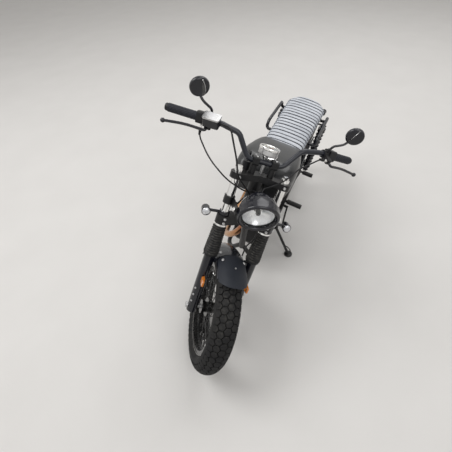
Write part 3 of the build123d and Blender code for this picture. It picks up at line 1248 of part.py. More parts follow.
def rear_fender():
    """The rear fender with its mount under the seat rails, the tail bracket and the plate carrier."""
    radius = REAR_RADIUS + REAR_FENDER_GAP + FENDER_WALL
    arch = fender_arch(radius, REAR_FENDER_HALF_WIDTH, 30, FENDER_WALL, REAR_FENDER_START, REAR_FENDER_END)
    bead = fender_beads(radius - 30 - FENDER_WALL / 2, REAR_FENDER_HALF_WIDTH, REAR_FENDER_START, REAR_FENDER_END)
    arch = REAR_WHEEL * arch.fuse(*bead)
    top = RAIL_HEIGHT - RAIL_RADIUS - SEAT_GAP
    tab_x = RAIL_REAR
    bottom = REAR_RADIUS + math.sqrt((radius - 2) ** 2 - (abs(tab_x) + 12) ** 2)
    arch += Pos(tab_x, 0, (top + bottom) / 2) * Box(24, 50, top - bottom)
    inner_x = -math.sqrt((radius - 2) ** 2 - (TAIL_Z - REAR_RADIUS + 18) ** 2)
    arch += Pos((inner_x + TAIL_FACE) / 2, 0, TAIL_Z) * Box(inner_x - TAIL_FACE, 2 * BRACKET_HALF_WIDTH, 36)
    return arch + Pos(TAIL_FACE + 2, 0, TAIL_Z - 90) * Box(4, 150, 150)


def tail_lamp():
    """The round tail lamp on its bracket."""
    lamp = rod((TAIL_FACE - SEAT_GAP, 0, TAIL_Z), (TAIL_FACE - 40, 0, TAIL_Z), 34)
    return fillet(lamp.edges().group_by(Axis.X)[0], 12)


def rear_signals():
    """The two rear signals on stalks from the tail bracket."""
    solids = []
    for side in (-1, 1):
        inner = side * (BRACKET_HALF_WIDTH + SEAT_GAP)
        x = TAIL_FACE + 12
        outer = side * (BRACKET_HALF_WIDTH + 60)
        stalk = rod((x, inner, TAIL_Z), (x, outer, TAIL_Z), STALK_RADIUS)
        body = Rot(0, 0, 180) * signal((0, 0, 0))
        solids.append(stalk + Pos(x, outer + side * 0.8 * SIGNAL_RADIUS, TAIL_Z) * body)
    return Compound(solids)


def grab_loops():
    """The black tube loops beside the seat, from rail to rail."""
    side = RAIL_SIDE + RAIL_RADIUS + SEAT_GAP
    out = LOOP_OFFSET
    z = RAIL_HEIGHT
    front, back = 396 * SPAN, 114 * SPAN
    route = [(front, side, z), (front, out, z + 2), (front - 18, out, z + 44), (back + 18, out, z + 44),
             (back, out, z + 2), (back, side, z)]
    return both_sides(cord(route, LOOP_RADIUS))


# ---- pegs, pedals and stand
def footpegs():
    """The rider's and the pillion's rubber pegs on both sides."""
    start = CRADLE_SIDE + CRADLE_RADIUS + SEAT_GAP
    peg = rod((PIVOT_X - 10, start, PEG_Z), (PIVOT_X - 10, start + 12, PEG_Z), 10)
    peg += rod((PIVOT_X - 10, start + 10, PEG_Z), (PIVOT_X - 10, start + 10 + PEG_LENGTH, PEG_Z), PEG_RADIUS)
    inner = CRADLE_SIDE + 17 + (STRUT_RADIUS - 1) + SEAT_GAP
    rear = rod((PILLION_X + 4, inner, PILLION_Z), (PILLION_X + 4, inner + 12, PILLION_Z), 8)
    rear += rod((PILLION_X + 4, inner + 10, PILLION_Z), (PILLION_X + 4, inner + 0.8 * PEG_LENGTH, PILLION_Z), 14)
    return Compound([peg, mirror(peg, about=Plane.XZ), rear, mirror(rear, about=Plane.XZ)])


def foot_controls():
    """The gear lever on the left and the brake pedal on the right."""
    start = CRADLE_SIDE + CRADLE_RADIUS + SEAT_GAP
    z = PEG_Z - 38
    lever = rod((PIVOT_X, start, z), (PIVOT_X, start + 30, z), 9)
    route = [(PIVOT_X, start + 24, z), (PIVOT_X + 90, start + 34, z + 4), (PIVOT_X + 180, start + 44, z + 26)]
    lever += cord(route, 6)
    lever += rod((PIVOT_X + 180, start + 44, z + 26), (PIVOT_X + 180, start + 88, z + 26), 9)
    return both_sides(lever)


def stand_foot():
    """The middle of the stand's foot on the ground, in the parked frame."""
    pivot = (PARKED * Pos(*STAND_PIVOT)).position
    return Vector(pivot.X + STAND_FOOT_FORWARD, pivot.Y + STAND_FOOT_OUT, 0)


STAND_PIVOT = Vector(STAND_X, STAND_OFFSET, STAND_Z)
STAND_LEG = (PARKED.inverse() * Pos(*(stand_foot() + Vector(0, 0, STAND_FOOT_WALL / 2)))).position - STAND_PIVOT
STAND_AXIS = Vector(0, -STAND_LEG.Z, STAND_LEG.Y).normalized()


def stand_pin():
    """The side stand's pivot pin with its boss and head, as part of the frame."""
    half = STAND_EYE_LENGTH / 2 + PIN_GAP
    pin = rod(STAND_PIVOT - STAND_AXIS * 24, STAND_PIVOT + STAND_AXIS * (half + 5), STAND_PIN_RADIUS)
    pin += rod(STAND_PIVOT - STAND_AXIS * 24, STAND_PIVOT - STAND_AXIS * half, STAND_PIN_RADIUS + 5)
    head = STAND_PIVOT + STAND_AXIS * half
    return pin + rod(head, head + STAND_AXIS * 5, STAND_PIN_RADIUS + 4)


def side_stand():
    """The side stand: its eye, leg, foot plate flat on the ground and the small wire tang."""
    half = STAND_AXIS * (STAND_EYE_LENGTH / 2)
    along = STAND_LEG.normalized()
    eye = rod(STAND_PIVOT - half, STAND_PIVOT + half, STAND_EYE_RADIUS)
    leg = rod(STAND_PIVOT + along * (STAND_EYE_RADIUS - 3), STAND_PIVOT + STAND_LEG, STAND_LEG_RADIUS)
    foot = PARKED.inverse() * Pos(*stand_foot()) * extrude(Circle(STAND_FOOT_RADIUS), STAND_FOOT_WALL)
    start = STAND_PIVOT + STAND_LEG * 0.66
    end = STAND_PIVOT + STAND_LEG * 0.86
    tang = cord([start, start + Vector(14, 42, 8), end + Vector(26, 44, 8), end], 3)
    stand = eye + leg + foot + tang
    stand -= PARKED.inverse() * Pos(0, 0, -50) * Box(4000, 4000, 100)
    reach = STAND_AXIS * 40
    return stand - rod(STAND_PIVOT - reach, STAND_PIVOT + reach, STAND_PIN_RADIUS + PIN_GAP)


# ---- the whole machine
def on_steering():
    """The nodes that turn with the steering, in the steering frame."""
    grip_solids = grips()
    return {
        "fork_clamps": Compound(lower_clamp().solids() + upper_clamp().solids()),
        "fork_tubes": fork_tubes(),
        "fork_gaiters": fork_gaiters(),
        "fork_collars": fork_collars(),
        "fork_legs": fork_legs(),
        "front_axle": FRONT_WHEEL * axle(FORK_SIDE + FORK_LEG_RADIUS + SEAT_GAP + AXLE_NUT_LENGTH,
                                         FRONT_DISC_OFFSET + DISC_WALL / 2 + RUN_GAP,
                                         FRONT_HUB_RIGHT - RUN_GAP, LEG_INNER - SEAT_GAP),
        "front_fender": front_fender(),
        "fender_plate": fender_plate(),
        "front_caliper": front_caliper(),
        "headlamp_shell": headlamp_shell(),
        "headlamp_reflector": headlamp_reflector(),
        "headlamp_glass": headlamp_glass(),
        "lamp_ears": lamp_ears(),
        "handlebar": handlebar(),
        "grips": grip_solids,
        "bar_controls": Compound([make(side) for side in (-1, 1) for make in (switch_housing, lever_perch)]),
        "hand_levers": Compound([hand_lever(1), hand_lever(-1)]),
        "master_cylinder": master_cylinder(),
        "master_lid": master_lid(),
        "mirrors": Compound([rear_mirror(1), rear_mirror(-1)]),
        "speedometer": speedometer(),
        "ignition_lock": ignition_lock(),
        "front_signals": front_signals(),
        "fork_reflectors": fork_reflectors(),
        "brake_hose": brake_hose(),
        "control_cables": Compound(clutch_cable().solids() + throttle_cable().solids()),
    }


def on_chassis():
    """The nodes that stay with the frame, in the upright frame."""
    reach = ARM_OFFSET + ARM_WIDTH / 2
    return {
        "main_frame": main_frame(),
        "engine_block": engine_block(),
        "engine_cylinder": engine_cylinder(),
        "engine_head": engine_head(),
        "intake": intake(),
        "exhaust_header": exhaust_header(),
        "silencer": silencer(),
        "fuel_tank": fuel_tank(),
        "tank_cap": tank_cap(),
        "seat": seat(),
        "side_panels": side_panels(),
        "rear_fender": rear_fender(),
        "tail_lamp": tail_lamp(),
        "rear_signals": rear_signals(),
        "grab_loops": grab_loops(),
        "swingarm": swingarm(),
        "rear_shocks": rear_shocks(),
        "rear_axle": REAR_WHEEL * axle(reach + SEAT_GAP + AXLE_NUT_LENGTH, REAR_HUB_LEFT + RUN_GAP,
                                       REAR_HUB_RIGHT - RUN_GAP, ARM_INNER - SEAT_GAP),
        "rear_caliper": rear_caliper(),
        "drive_chain": drive_chain(),
        "foot_controls": Compound(footpegs().solids() + foot_controls().solids()),
        "side_stand": side_stand(),
    }


def wheels():
    """The nodes of both wheels, each with the place of its wheel."""
    front = STEERING * FRONT_WHEEL
    return {
        "front_tyre": front * tyre(FRONT_RADIUS, FRONT_SECTION),
        "front_rim": front * wire_wheel(FRONT_HUB_LEFT, FRONT_HUB_RIGHT),
        "front_disc": front * brake_disc(FRONT_DISC_RADIUS, FRONT_DISC_BAND, FRONT_DISC_OFFSET),
        "rear_tyre": REAR_WHEEL * tyre(REAR_RADIUS, REAR_SECTION),
        "rear_rim": REAR_WHEEL * wire_wheel(REAR_HUB_LEFT, REAR_HUB_RIGHT),
        "rear_sprocket": REAR_WHEEL * sprocket(),
        "rear_disc": REAR_WHEEL * brake_disc(REAR_DISC_RADIUS, REAR_DISC_BAND, REAR_DISC_OFFSET),
    }


def motorcycle():
    """Every node in the parked frame, centred on the ground, and the shift that centres it."""
    nodes = {name: PARKED * STEERING * shape for name, shape in on_steering().items()}
    nodes.update({name: PARKED * shape for name, shape in {**on_chassis(), **wheels()}.items()})
    box = Compound([shape for shape in nodes.values()]).bounding_box()
    shift = Pos(-box.center().X, -box.center().Y, 0)
    return {name: shift * shape for name, shape in nodes.items()}, shift


if __name__ == "__main__":
    os.makedirs("parts", exist_ok=True)
    parts, centring = motorcycle()
    for name, shape in parts.items():
        export_step(Compound(shape.solids()), f"parts/{name}.step")
    print("centring shift", tuple(centring.position))
    for hose in (brake_hose, clutch_cable, throttle_cable):
        print(hose.__name__, "volume", round(hose().volume))
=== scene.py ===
import json
import logging
import math
from dataclasses import dataclass
from enum import Enum
from typing import Callable, Dict, List, Optional, Sequence, Tuple

import bpy
from mathutils import Matrix, Vector

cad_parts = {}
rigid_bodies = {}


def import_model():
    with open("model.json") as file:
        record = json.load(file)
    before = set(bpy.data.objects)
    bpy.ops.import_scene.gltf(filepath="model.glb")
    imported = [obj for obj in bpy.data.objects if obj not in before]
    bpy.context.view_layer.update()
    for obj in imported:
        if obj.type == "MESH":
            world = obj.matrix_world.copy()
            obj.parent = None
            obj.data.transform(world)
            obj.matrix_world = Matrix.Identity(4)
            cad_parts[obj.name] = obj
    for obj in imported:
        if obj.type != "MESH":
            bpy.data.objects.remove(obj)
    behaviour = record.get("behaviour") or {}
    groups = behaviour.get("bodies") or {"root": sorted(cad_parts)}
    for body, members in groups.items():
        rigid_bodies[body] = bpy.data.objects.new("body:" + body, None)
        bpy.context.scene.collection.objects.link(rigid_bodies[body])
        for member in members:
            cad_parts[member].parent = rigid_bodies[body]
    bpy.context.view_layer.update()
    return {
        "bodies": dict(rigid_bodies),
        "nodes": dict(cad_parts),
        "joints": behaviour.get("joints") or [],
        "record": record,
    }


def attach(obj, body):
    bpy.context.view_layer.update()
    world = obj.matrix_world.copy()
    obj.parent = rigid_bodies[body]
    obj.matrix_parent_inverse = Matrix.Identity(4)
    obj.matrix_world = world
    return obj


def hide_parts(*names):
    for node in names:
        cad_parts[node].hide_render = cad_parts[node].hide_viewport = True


Colour = Tuple[float, float, float]
Point = Tuple[float, float, float]
Profile = Sequence[Tuple[float, float]]
Maker = Callable[[str], bpy.types.Material]
log = logging.getLogger("motorcycle")


class Body(Enum):
    """The bodies that carry added pieces."""

    CHASSIS = "chassis"
    STEERING = "steering"
    FRONT_WHEEL = "front_wheel"
    REAR_WHEEL = "rear_wheel"


class Grain(Enum):
    """The small relief of a surface."""

    SMOOTH = "smooth"
    PEEL = "peel"
    CAST = "cast"
    LEATHER = "leather"
    RUBBER = "rubber"
    BRUSHED = "brushed"


# ---- shader maths


class Signal:
    """A number or colour on its way between shader nodes, with arithmetic."""

    def __init__(self, graph: "Graph", socket: bpy.types.NodeSocket) -> None:
        self.graph = graph
        self.socket = socket

    def _math(self, operation: str, first: object, second: object) -> "Signal":
        """Joins two values with one Math node.

        Args:
            operation: the Math node's operation.
            first: a number or Signal.
            second: a number or Signal.

        Returns:
            The result's Signal.
        """
        made = self.graph.node("ShaderNodeMath", {0: first, 1: second}, operation=operation)
        return Signal(self.graph, made.outputs[0])

    def __add__(self, other: object) -> "Signal":
        return self._math("ADD", self, other)

    def __sub__(self, other: object) -> "Signal":
        return self._math("SUBTRACT", self, other)

    def __mul__(self, other: object) -> "Signal":
        return self._math("MULTIPLY", self, other)

    def __truediv__(self, other: object) -> "Signal":
        return self._math("DIVIDE", self, other)

    def step(self, low: float, high: float) -> "Signal":
        """Rises smoothly from 0 at low to 1 at high.

        Args:
            low: where the rise starts.
            high: where it ends.

        Returns:
            The stepped Signal.
        """
        made = self.graph.node(
            "ShaderNodeMapRange",
            {0: self, 1: low, 2: high, 3: 0.0, 4: 1.0},
            interpolation_type="SMOOTHSTEP",
        )
        return Signal(self.graph, made.outputs[0])

    def between(self, first: object, second: object) -> "Signal":
        """Mixes two colours, with this value as the share of the second.

        Args:
            first: a colour or Signal shown at 0.
            second: a colour or Signal shown at 1.

        Returns:
            The mixed colour.
        """
        made = self.graph.node("ShaderNodeMix", {0: self, 6: first, 7: second}, data_type="RGBA")
        return Signal(self.graph, made.outputs[2])


class Graph:
    """The node tree of one material."""

    def __init__(self, name: str) -> None:
        self.material = bpy.data.materials.new(name)
        self.material.use_nodes = True
        self.tree = self.material.node_tree
        self.tree.nodes.clear()
        self._place: Optional[Signal] = None

    def node(self, kind: str, inputs: Dict[object, object], **settings: object) -> bpy.types.Node:
        """Makes any node, sets it up and links or fills its inputs.

        Args:
            kind: the node's type name.
            inputs: values, colours or Signals by socket name or number.
            settings: attributes of the node.

        Returns:
            The new node.
        """
        made = self.tree.nodes.new(kind)
        for key, value in settings.items():
            setattr(made, key, value)
        for key, value in inputs.items():
            if isinstance(value, Signal):
                self.tree.links.new(value.socket, made.inputs[key])
            elif isinstance(value, tuple) and made.inputs[key].type == "RGBA":
                made.inputs[key].default_value = (*value, 1.0)
            else:
                made.inputs[key].default_value = value
        return made

    def place(self) -> Signal:
        """Returns:
            The surface point in the object's own coordinates, in metres.
        """
        if self._place is None:
            made = self.node("ShaderNodeTexCoord", {})
            self._place = Signal(self, made.outputs["Object"])
        return self._place

    def along(self, axis: Sequence[float], origin: Sequence[float]) -> Signal:
        """The distance of the surface point from a plane.

        Args:
            axis: the plane's unit normal.
            origin: a point on the plane.

        Returns:
            The signed distance in metres.
        """
        offset = self.node(
            "ShaderNodeVectorMath", {0: self.place(), 1: tuple(origin)}, operation="SUBTRACT"
        )
        dot = self.node(
            "ShaderNodeVectorMath",
            {0: Signal(self, offset.outputs[0]), 1: tuple(axis)},
            operation="DOT_PRODUCT",
        )
        return Signal(self, dot.outputs["Value"])

    def noise(self, size: float, detail: float = 3.0, stretch: Sequence[float] = (1, 1, 1)) -> Signal:
        """Soft noise from 0 to 1.

        Args:
            size: the size of its patches in metres.
            detail: how many finer layers it has.
            stretch: how much finer it is along each axis.

        Returns:
            The noise's value.
        """
        scaled = self.node(
            "ShaderNodeVectorMath", {0: self.place(), 1: tuple(stretch)}, operation="MULTIPLY"
        )
        made = self.node(
            "ShaderNodeTexNoise",
            {"Vector": Signal(self, scaled.outputs[0]), "Scale": 1.0 / size, "Detail": detail},
        )
        return Signal(self, made.outputs[0])

    def cells(self, size: float, feature: str = "F1") -> Signal:
        """The distance field of a cell pattern.

        Args:
            size: the size of a cell in metres.
            feature: the Voronoi feature.

        Returns:
            The distance, about 0 to 1.
        """
        made = self.node(
            "ShaderNodeTexVoronoi", {"Vector": self.place(), "Scale": 1.0 / size}, feature=feature
        )
        return Signal(self, made.outputs["Distance"])

    def bump(self, height: Signal, depth: float) -> Signal:
        """Turns a height into a surface normal.

        Args:
            height: the relief, about 0 to 1.
            depth: the relief's real depth in metres.

        Returns:
            The normal.
        """
        made = self.node("ShaderNodeBump", {"Height": height, "Distance": depth, "Strength": 1.0})
        return Signal(self, made.outputs[0])

    def finish(self, **inputs: object) -> bpy.types.Material:
        """Ends the tree with a Principled shader.

        Args:
            inputs: the shader's inputs, with spaces written as underscores.

        Returns:
            The material.
        """
        named = {key.replace("_", " "): value for key, value in inputs.items()}
        shader = self.node("ShaderNodeBsdfPrincipled", named)
        output = self.node("ShaderNodeOutputMaterial", {})
        self.tree.links.new(shader.outputs[0], output.inputs[0])
        return self.material


# ---- finishes


@dataclass(frozen=True)
class Finish:
    """How one kind of surface looks.

    Attributes:
        color: its main colour.
        tint: the colour that it varies towards in soft patches.
        roughness: its mean roughness.
        spread: how far the roughness varies.
        grain: the kind of small relief.
        size: the relief's size in metres.
        depth: the relief's depth in metres.
        metallic: 1 for bare metal.
        coat: the weight of a clear coat.
        dust: how much pale dust lies on faces that look up.
        specular: the level of its plain reflection.
    """

    color: Colour
    tint: Colour
    roughness: float
    spread: float
    grain: Grain = Grain.SMOOTH
    size: float = 0.002
    depth: float = 0.0001
    metallic: float = 0.0
    coat: float = 0.0
    dust: float = 0.0
    specular: float = 0.5


DUST: Colour = (0.30, 0.28, 0.25)


def relief(graph: Graph, finish: Finish) -> Optional[Signal]:
    """The normal of a finish's small relief.

    Args:
        graph: the material's tree.
        finish: the finish.

    Returns:
        The normal, or None for a smooth surface.
    """
    size = finish.size
    if finish.grain is Grain.SMOOTH:
        return None
    if finish.grain is Grain.LEATHER:
        height = graph.cells(size, "DISTANCE_TO_EDGE").step(0.0, 0.35) * 0.7 + graph.noise(size * 9) * 0.6
    elif finish.grain is Grain.BRUSHED:
        height = graph.noise(size, 4.0, (0.04, 1.0, 1.0))
    elif finish.grain is Grain.CAST:
        height = graph.noise(size, 6.0) + graph.cells(size * 1.7) * 0.4
    else:
        height = graph.noise(size, 2.0 if finish.grain is Grain.PEEL else 5.0)
    return graph.bump(height, finish.depth)


def painted(name: str, finish: Finish) -> bpy.types.Material:
    """Makes the material of a finish.

    Args:
        name: the material's name.
        finish: what it looks like.

    Returns:
        The material.
    """
    graph = Graph(name)
    patches = graph.noise(0.09, 4.0).step(0.35, 0.7)
    fine = graph.noise(0.012, 5.0)
    color = patches.between(finish.color, finish.tint)
    if finish.dust > 0.0:
        normal = graph.node("ShaderNodeNewGeometry", {})
        up = graph.node(
            "ShaderNodeVectorMath",
            {0: Signal(graph, normal.outputs["Normal"]), 1: (0.0, 0.0, 1.0)},
            operation="DOT_PRODUCT",
        )
        settled = Signal(graph, up.outputs["Value"]).step(0.2, 1.0) * (fine.step(0.35, 0.8) * finish.dust)
        color = settled.between(color, DUST)
    rough = fine * (2.0 * finish.spread) + (finish.roughness - finish.spread)
    inputs: Dict[str, object] = {
        "Base_Color": color,
        "Roughness": rough,
        "Metallic": finish.metallic,
        "Coat_Weight": finish.coat,
        "Specular_IOR_Level": finish.specular,
    }
    if finish.coat > 0.0:
        inputs["Coat_Roughness"] = 0.06
    normal = relief(graph, finish)
    if normal is not None:
        inputs["Normal"] = normal
    return graph.finish(**inputs)


FINISHES: Dict[str, Finish] = {
    "frame_black": Finish(
        (0.006, 0.006, 0.007), (0.009, 0.009, 0.010), 0.36, 0.06, Grain.PEEL, 0.003, 0.00012, dust=0.12,
        specular=0.35
    ),
    "gloss_black": Finish(
        (0.004, 0.0045, 0.008), (0.006, 0.0065, 0.012), 0.24, 0.05, Grain.PEEL, 0.006, 0.00005, coat=0.3,
        specular=0.4
    ),
    "bar_black": Finish(
        (0.010, 0.012, 0.019), (0.014, 0.016, 0.025), 0.34, 0.06, Grain.PEEL, 0.003, 0.00006, coat=0.2,
        specular=0.4
    ),
    "fender_blue": Finish(
        (0.005, 0.007, 0.012), (0.007, 0.009, 0.016), 0.26, 0.05, Grain.PEEL, 0.006, 0.00005, coat=0.5,
        specular=0.4
    ),
    "plate_blue": Finish(
        (0.015, 0.018, 0.025), (0.019, 0.022, 0.030), 0.58, 0.06, Grain.PEEL, 0.0012, 0.00008, specular=0.3
    ),
    "tank_grey": Finish(
        (0.017, 0.018, 0.019), (0.022, 0.023, 0.024), 0.36, 0.05, Grain.PEEL, 0.005, 0.00004, coat=0.25,
        specular=0.35
    ),
    "chrome": Finish(
        (0.86, 0.855, 0.84), (0.78, 0.775, 0.765), 0.12, 0.04, Grain.PEEL, 0.004, 0.00002, metallic=1.0
    ),
    "rim_black": Finish(
        (0.005, 0.005, 0.006), (0.008, 0.008, 0.008), 0.26, 0.06, Grain.PEEL, 0.004, 0.00005, coat=0.4,
        dust=0.1, specular=0.4
    ),
    "alloy": Finish(
        (0.55, 0.55, 0.55), (0.42, 0.42, 0.43), 0.34, 0.10, Grain.BRUSHED, 0.002, 0.00006, metallic=1.0
    ),
    "cast_black": Finish(
        (0.007, 0.007, 0.008), (0.012, 0.012, 0.013), 0.46, 0.08, Grain.CAST, 0.0022, 0.00022, dust=0.15,
        specular=0.3
    ),
    "cast_alloy": Finish(
        (0.23, 0.23, 0.235), (0.15, 0.15, 0.15), 0.46, 0.10, Grain.CAST, 0.0025, 0.00025, metallic=0.9
    ),
    "plastic_black": Finish(
        (0.007, 0.007, 0.009), (0.011, 0.011, 0.013), 0.50, 0.07, Grain.CAST, 0.0013, 0.00010, dust=0.1,
        specular=0.3
    ),
    "gaiter": Finish(
        (0.007, 0.007, 0.0075), (0.011, 0.011, 0.011), 0.55, 0.08, Grain.RUBBER, 0.002, 0.0001, dust=0.25,
        specular=0.25
    ),
    "tyre_rubber": Finish(
        (0.010, 0.010, 0.011), (0.016, 0.016, 0.016), 0.70, 0.10, Grain.RUBBER, 0.003, 0.0003, dust=0.12,
        specular=0.2
    ),
    "grip_rubber": Finish(
        (0.013, 0.014, 0.020), (0.019, 0.020, 0.027), 0.60, 0.08, Grain.RUBBER, 0.0015, 0.0001,
        specular=0.3
    ),
    "hose_rubber": Finish(
        (0.006, 0.006, 0.007), (0.010, 0.010, 0.011), 0.42, 0.06, Grain.RUBBER, 0.001, 0.00005,
        specular=0.3
    ),
    "seat_leather": Finish(
        (0.56, 0.585, 0.63), (0.46, 0.485, 0.53), 0.40, 0.08, Grain.LEATHER, 0.0016, 0.00025
    ),
    "seat_border": Finish(
        (0.018, 0.018, 0.020), (0.028, 0.028, 0.030), 0.50, 0.06, Grain.LEATHER, 0.0016, 0.00020,
        specular=0.3
    ),
    # Dark colour of the valleys between the seat's rolls: painted shade in the creases, over the sewn
    # seams.
    "seat_seam": Finish(
        (0.040, 0.043, 0.052), (0.060, 0.064, 0.074), 0.60, 0.06, Grain.LEATHER, 0.0016, 0.00020,
        specular=0.3
    ),
    "chain_steel": Finish((0.17, 0.16, 0.15), (0.09, 0.085, 0.08), 0.42, 0.12, metallic=0.9),
    "disc_steel": Finish(
        (0.40, 0.40, 0.41), (0.30, 0.30, 0.31), 0.32, 0.10, Grain.BRUSHED, 0.0012, 0.00005, metallic=1.0
    ),
    "silencer_black": Finish(
        (0.013, 0.013, 0.013), (0.022, 0.021, 0.020), 0.52, 0.08, Grain.CAST, 0.0018, 0.00012, dust=0.15,
        specular=0.3
    ),
    "amber": Finish(
        (0.85, 0.27, 0.02), (0.70, 0.20, 0.02), 0.20, 0.04, Grain.RUBBER, 0.004, 0.0002, coat=0.6
    ),
    "silver_lens": Finish(
        (0.66, 0.67, 0.70), (0.54, 0.55, 0.58), 0.18, 0.04, Grain.RUBBER, 0.004, 0.0003, metallic=0.7,
        coat=0.8
    ),
    "red_lens": Finish(
        (0.42, 0.012, 0.010), (0.30, 0.008, 0.008), 0.18, 0.04, Grain.RUBBER, 0.004, 0.0002, coat=0.6
    ),
}


def lens_glass(name: str) -> bpy.types.Material:
    """Clear glass with faint moulded flutes.

    Args:
        name: the material's name.

    Returns:
        The material.
    """
    graph = Graph(name)
    flutes = graph.noise(0.012, 1.0, (1.0, 1.0, 0.25))
    return graph.finish(
        Base_Color=(0.97, 0.98, 0.98),
        Roughness=0.03,
        IOR=1.45,
        Transmission_Weight=1.0,
        Normal=graph.bump(flutes, 0.0006),
    )


def flat_white(name: str) -> bpy.types.Material:
    """The dial's cream face, slightly uneven.

    Args:
        name: the material's name.

    Returns:
        The material.
    """
    graph = Graph(name)
    color = graph.noise(0.004).between((0.80, 0.78, 0.66), (0.86, 0.84, 0.74))
    return graph.finish(Base_Color=color, Roughness=0.5)


def bright_bowl(name: str) -> bpy.types.Material:
    """The headlamp's bright bowl, with its stepped facets.

    Args:
        name: the material's name.

    Returns:
        The material.
    """
    graph = Graph(name)
    facets = graph.cells(0.016)
    shade = graph.noise(0.03, 2.0).step(0.3, 0.75)
    return graph.finish(
        Base_Color=shade.between((0.97, 0.97, 0.98), (0.86, 0.86, 0.88)),
        Roughness=graph.noise(0.02) * 0.1 + 0.24,
        Metallic=0.92,
        Normal=graph.bump(facets, 0.0008),
    )


def heated_pipe(
    name: str, axis: Sequence[float], origin: Sequence[float], reach: float
) -> bpy.types.Material:
    """Steel with heat colours that fade along the pipe.

    Args:
        name: the material's name.
        axis: the way along which the heat fades.
        origin: where the pipe is hottest.
        reach: the distance over which it fades in metres.

    Returns:
        The material.
    """
    graph = Graph(name)
    away = graph.along(axis, origin) / reach + graph.noise(0.05) * 0.16 - 0.08
    hot = away.step(0.0, 0.22).between((0.10, 0.11, 0.20), (0.30, 0.12, 0.07))
    warm = away.step(0.2, 0.6).between(hot, (0.50, 0.27, 0.13))
    color = away.step(0.6, 1.1).between(warm, (0.40, 0.37, 0.33))
    return graph.finish(
        Base_Color=color,
        Roughness=graph.noise(0.008, 5.0) * 0.2 + 0.18,
        Metallic=1.0,
        Normal=graph.bump(graph.noise(0.003), 0.00005),
    )


class Materials:
    """The scene's materials, each made once."""

    def __init__(self) -> None:
        self._made: Dict[str, bpy.types.Material] = {}

    def get(self, name: str, maker: Optional[Maker] = None) -> bpy.types.Material:
        """Finds or makes a material.

        Args:
            name: a name in FINISHES, or any name with a maker.
            maker: makes the material from its name.

        Returns:
            The material.
        """
        if name not in self._made:
            self._made[name] = maker(name) if maker else painted(name, FINISHES[name])
        return self._made[name]


# ---- frames


@dataclass(frozen=True)
class Sizes:
    """The machine's main sizes in metres and degrees, as its solids have them."""

    rake: float = 26.0
    rear_radius: float = 0.3199
    front_radius: float = 0.3119
    front_section: float = 0.120
    rear_section: float = 0.130
    bead_radius: float = 0.2159
    bead_width: float = 0.076
    bead_height: float = 0.015
    fork_offset: float = 0.0469
    fork_side: float = 0.1025
    tube_radius: float = 0.0175
    bar_reach: float = 0.020
    bar_height: float = 0.776
    grip_length: float = 0.122
    grip_radius: float = 0.017
    housing_length: float = 0.044
    perch_length: float = 0.026
    gauge_place: Point = (-0.012, 0.010, 0.800)
    gauge_depth: float = 0.034
    seat_base: float = 0.7693
    seat_height: float = 0.062
    seat_front: float = 0.6117
    seat_rear: float = 0.020
    seat_half: float = 0.118
    seat_front_half: float = 0.104
    perch_tilt: float = 30.0
    mirror_rise: float = 0.096
    mirror_radius: float = 0.037
    mirror_turn: float = 35.0
    lamp_place: Point = (0.172, 0.0, 0.598)
    lamp_tilt: float = 4.0
    lamp_pivot: Point = (0.146, 0.0978, 0.598)


SIZES = Sizes()


@dataclass(frozen=True)
class Frames:
    """The places of the machine's main axes at rest, each a matrix into the row frame.

    Attributes:
        steering: x forward, y left, z up the steering axis, from the front axle's foot on it.
        front_wheel: the front wheel's centre, y along its axle.
        rear_wheel: the rear wheel's centre, y along its axle.
        chassis: x forward, y left, z up in the upright machine, from the ground under the rear axle.
    """

    steering: Matrix
    front_wheel: Matrix
    rear_wheel: Matrix
    chassis: Matrix


def matrix_of(origin: Vector, x: Vector, y: Vector, z: Vector) -> Matrix:
    """A place from its origin and axes.

    Args:
        origin: its origin.
        x: its x axis.
        y: its y axis.
        z: its z axis.

    Returns:
        The matrix.
    """
    turned = Matrix((x, y, z)).transposed().to_4x4()
    return Matrix.Translation(origin) @ turned


def find_frames(joints: Sequence[dict]) -> Frames:
    """Works out the main places from the joints.

    Args:
        joints: the record's joints.

    Returns:
        The frames.
    """
    named = {joint["name"]: joint for joint in joints}
    turn, front, rear = named["steering_turn"], named["front_wheel_spin"], named["rear_wheel_spin"]
    axis = Vector(turn["axis"]).normalized()
    across = Vector(front["axis"]).normalized()
    forward = across.cross(axis).normalized()
    centre = Vector(front["pos_m"])
    pivot = Vector(turn["pos_m"])
    foot = pivot + axis * (centre - pivot).dot(axis)
    side = Vector(rear["axis"]).normalized()
    up = Matrix.Rotation(math.radians(SIZES.rake), 3, side) @ axis
    ahead = side.cross(up).normalized()
    hub = Vector(rear["pos_m"])
    return Frames(
        steering=matrix_of(foot, forward, across, axis),
        front_wheel=matrix_of(centre, forward, across, axis),
        rear_wheel=matrix_of(hub, ahead, side, up),
        chassis=matrix_of(hub - up * SIZES.rear_radius, ahead, side, up),
    )


# ---- mesh code


def circle(count: int) -> List[Tuple[float, float]]:
    """Even steps round a circle.

    Args:
        count: the number of steps.

    Returns:
        The cosine and sine of each step's angle.
    """
    angles = [2.0 * math.pi * step / count for step in range(count)]
    return [(math.cos(angle), math.sin(angle)) for angle in angles]


@dataclass(frozen=True)
class Turned:
    """A turned form.

    Attributes:
        profile: (radius, height) from one end to the other.
        segments: the number of sides.
        caps: whether its ends are filled.
    """

    profile: Profile
    segments: int = 32
    caps: bool = True


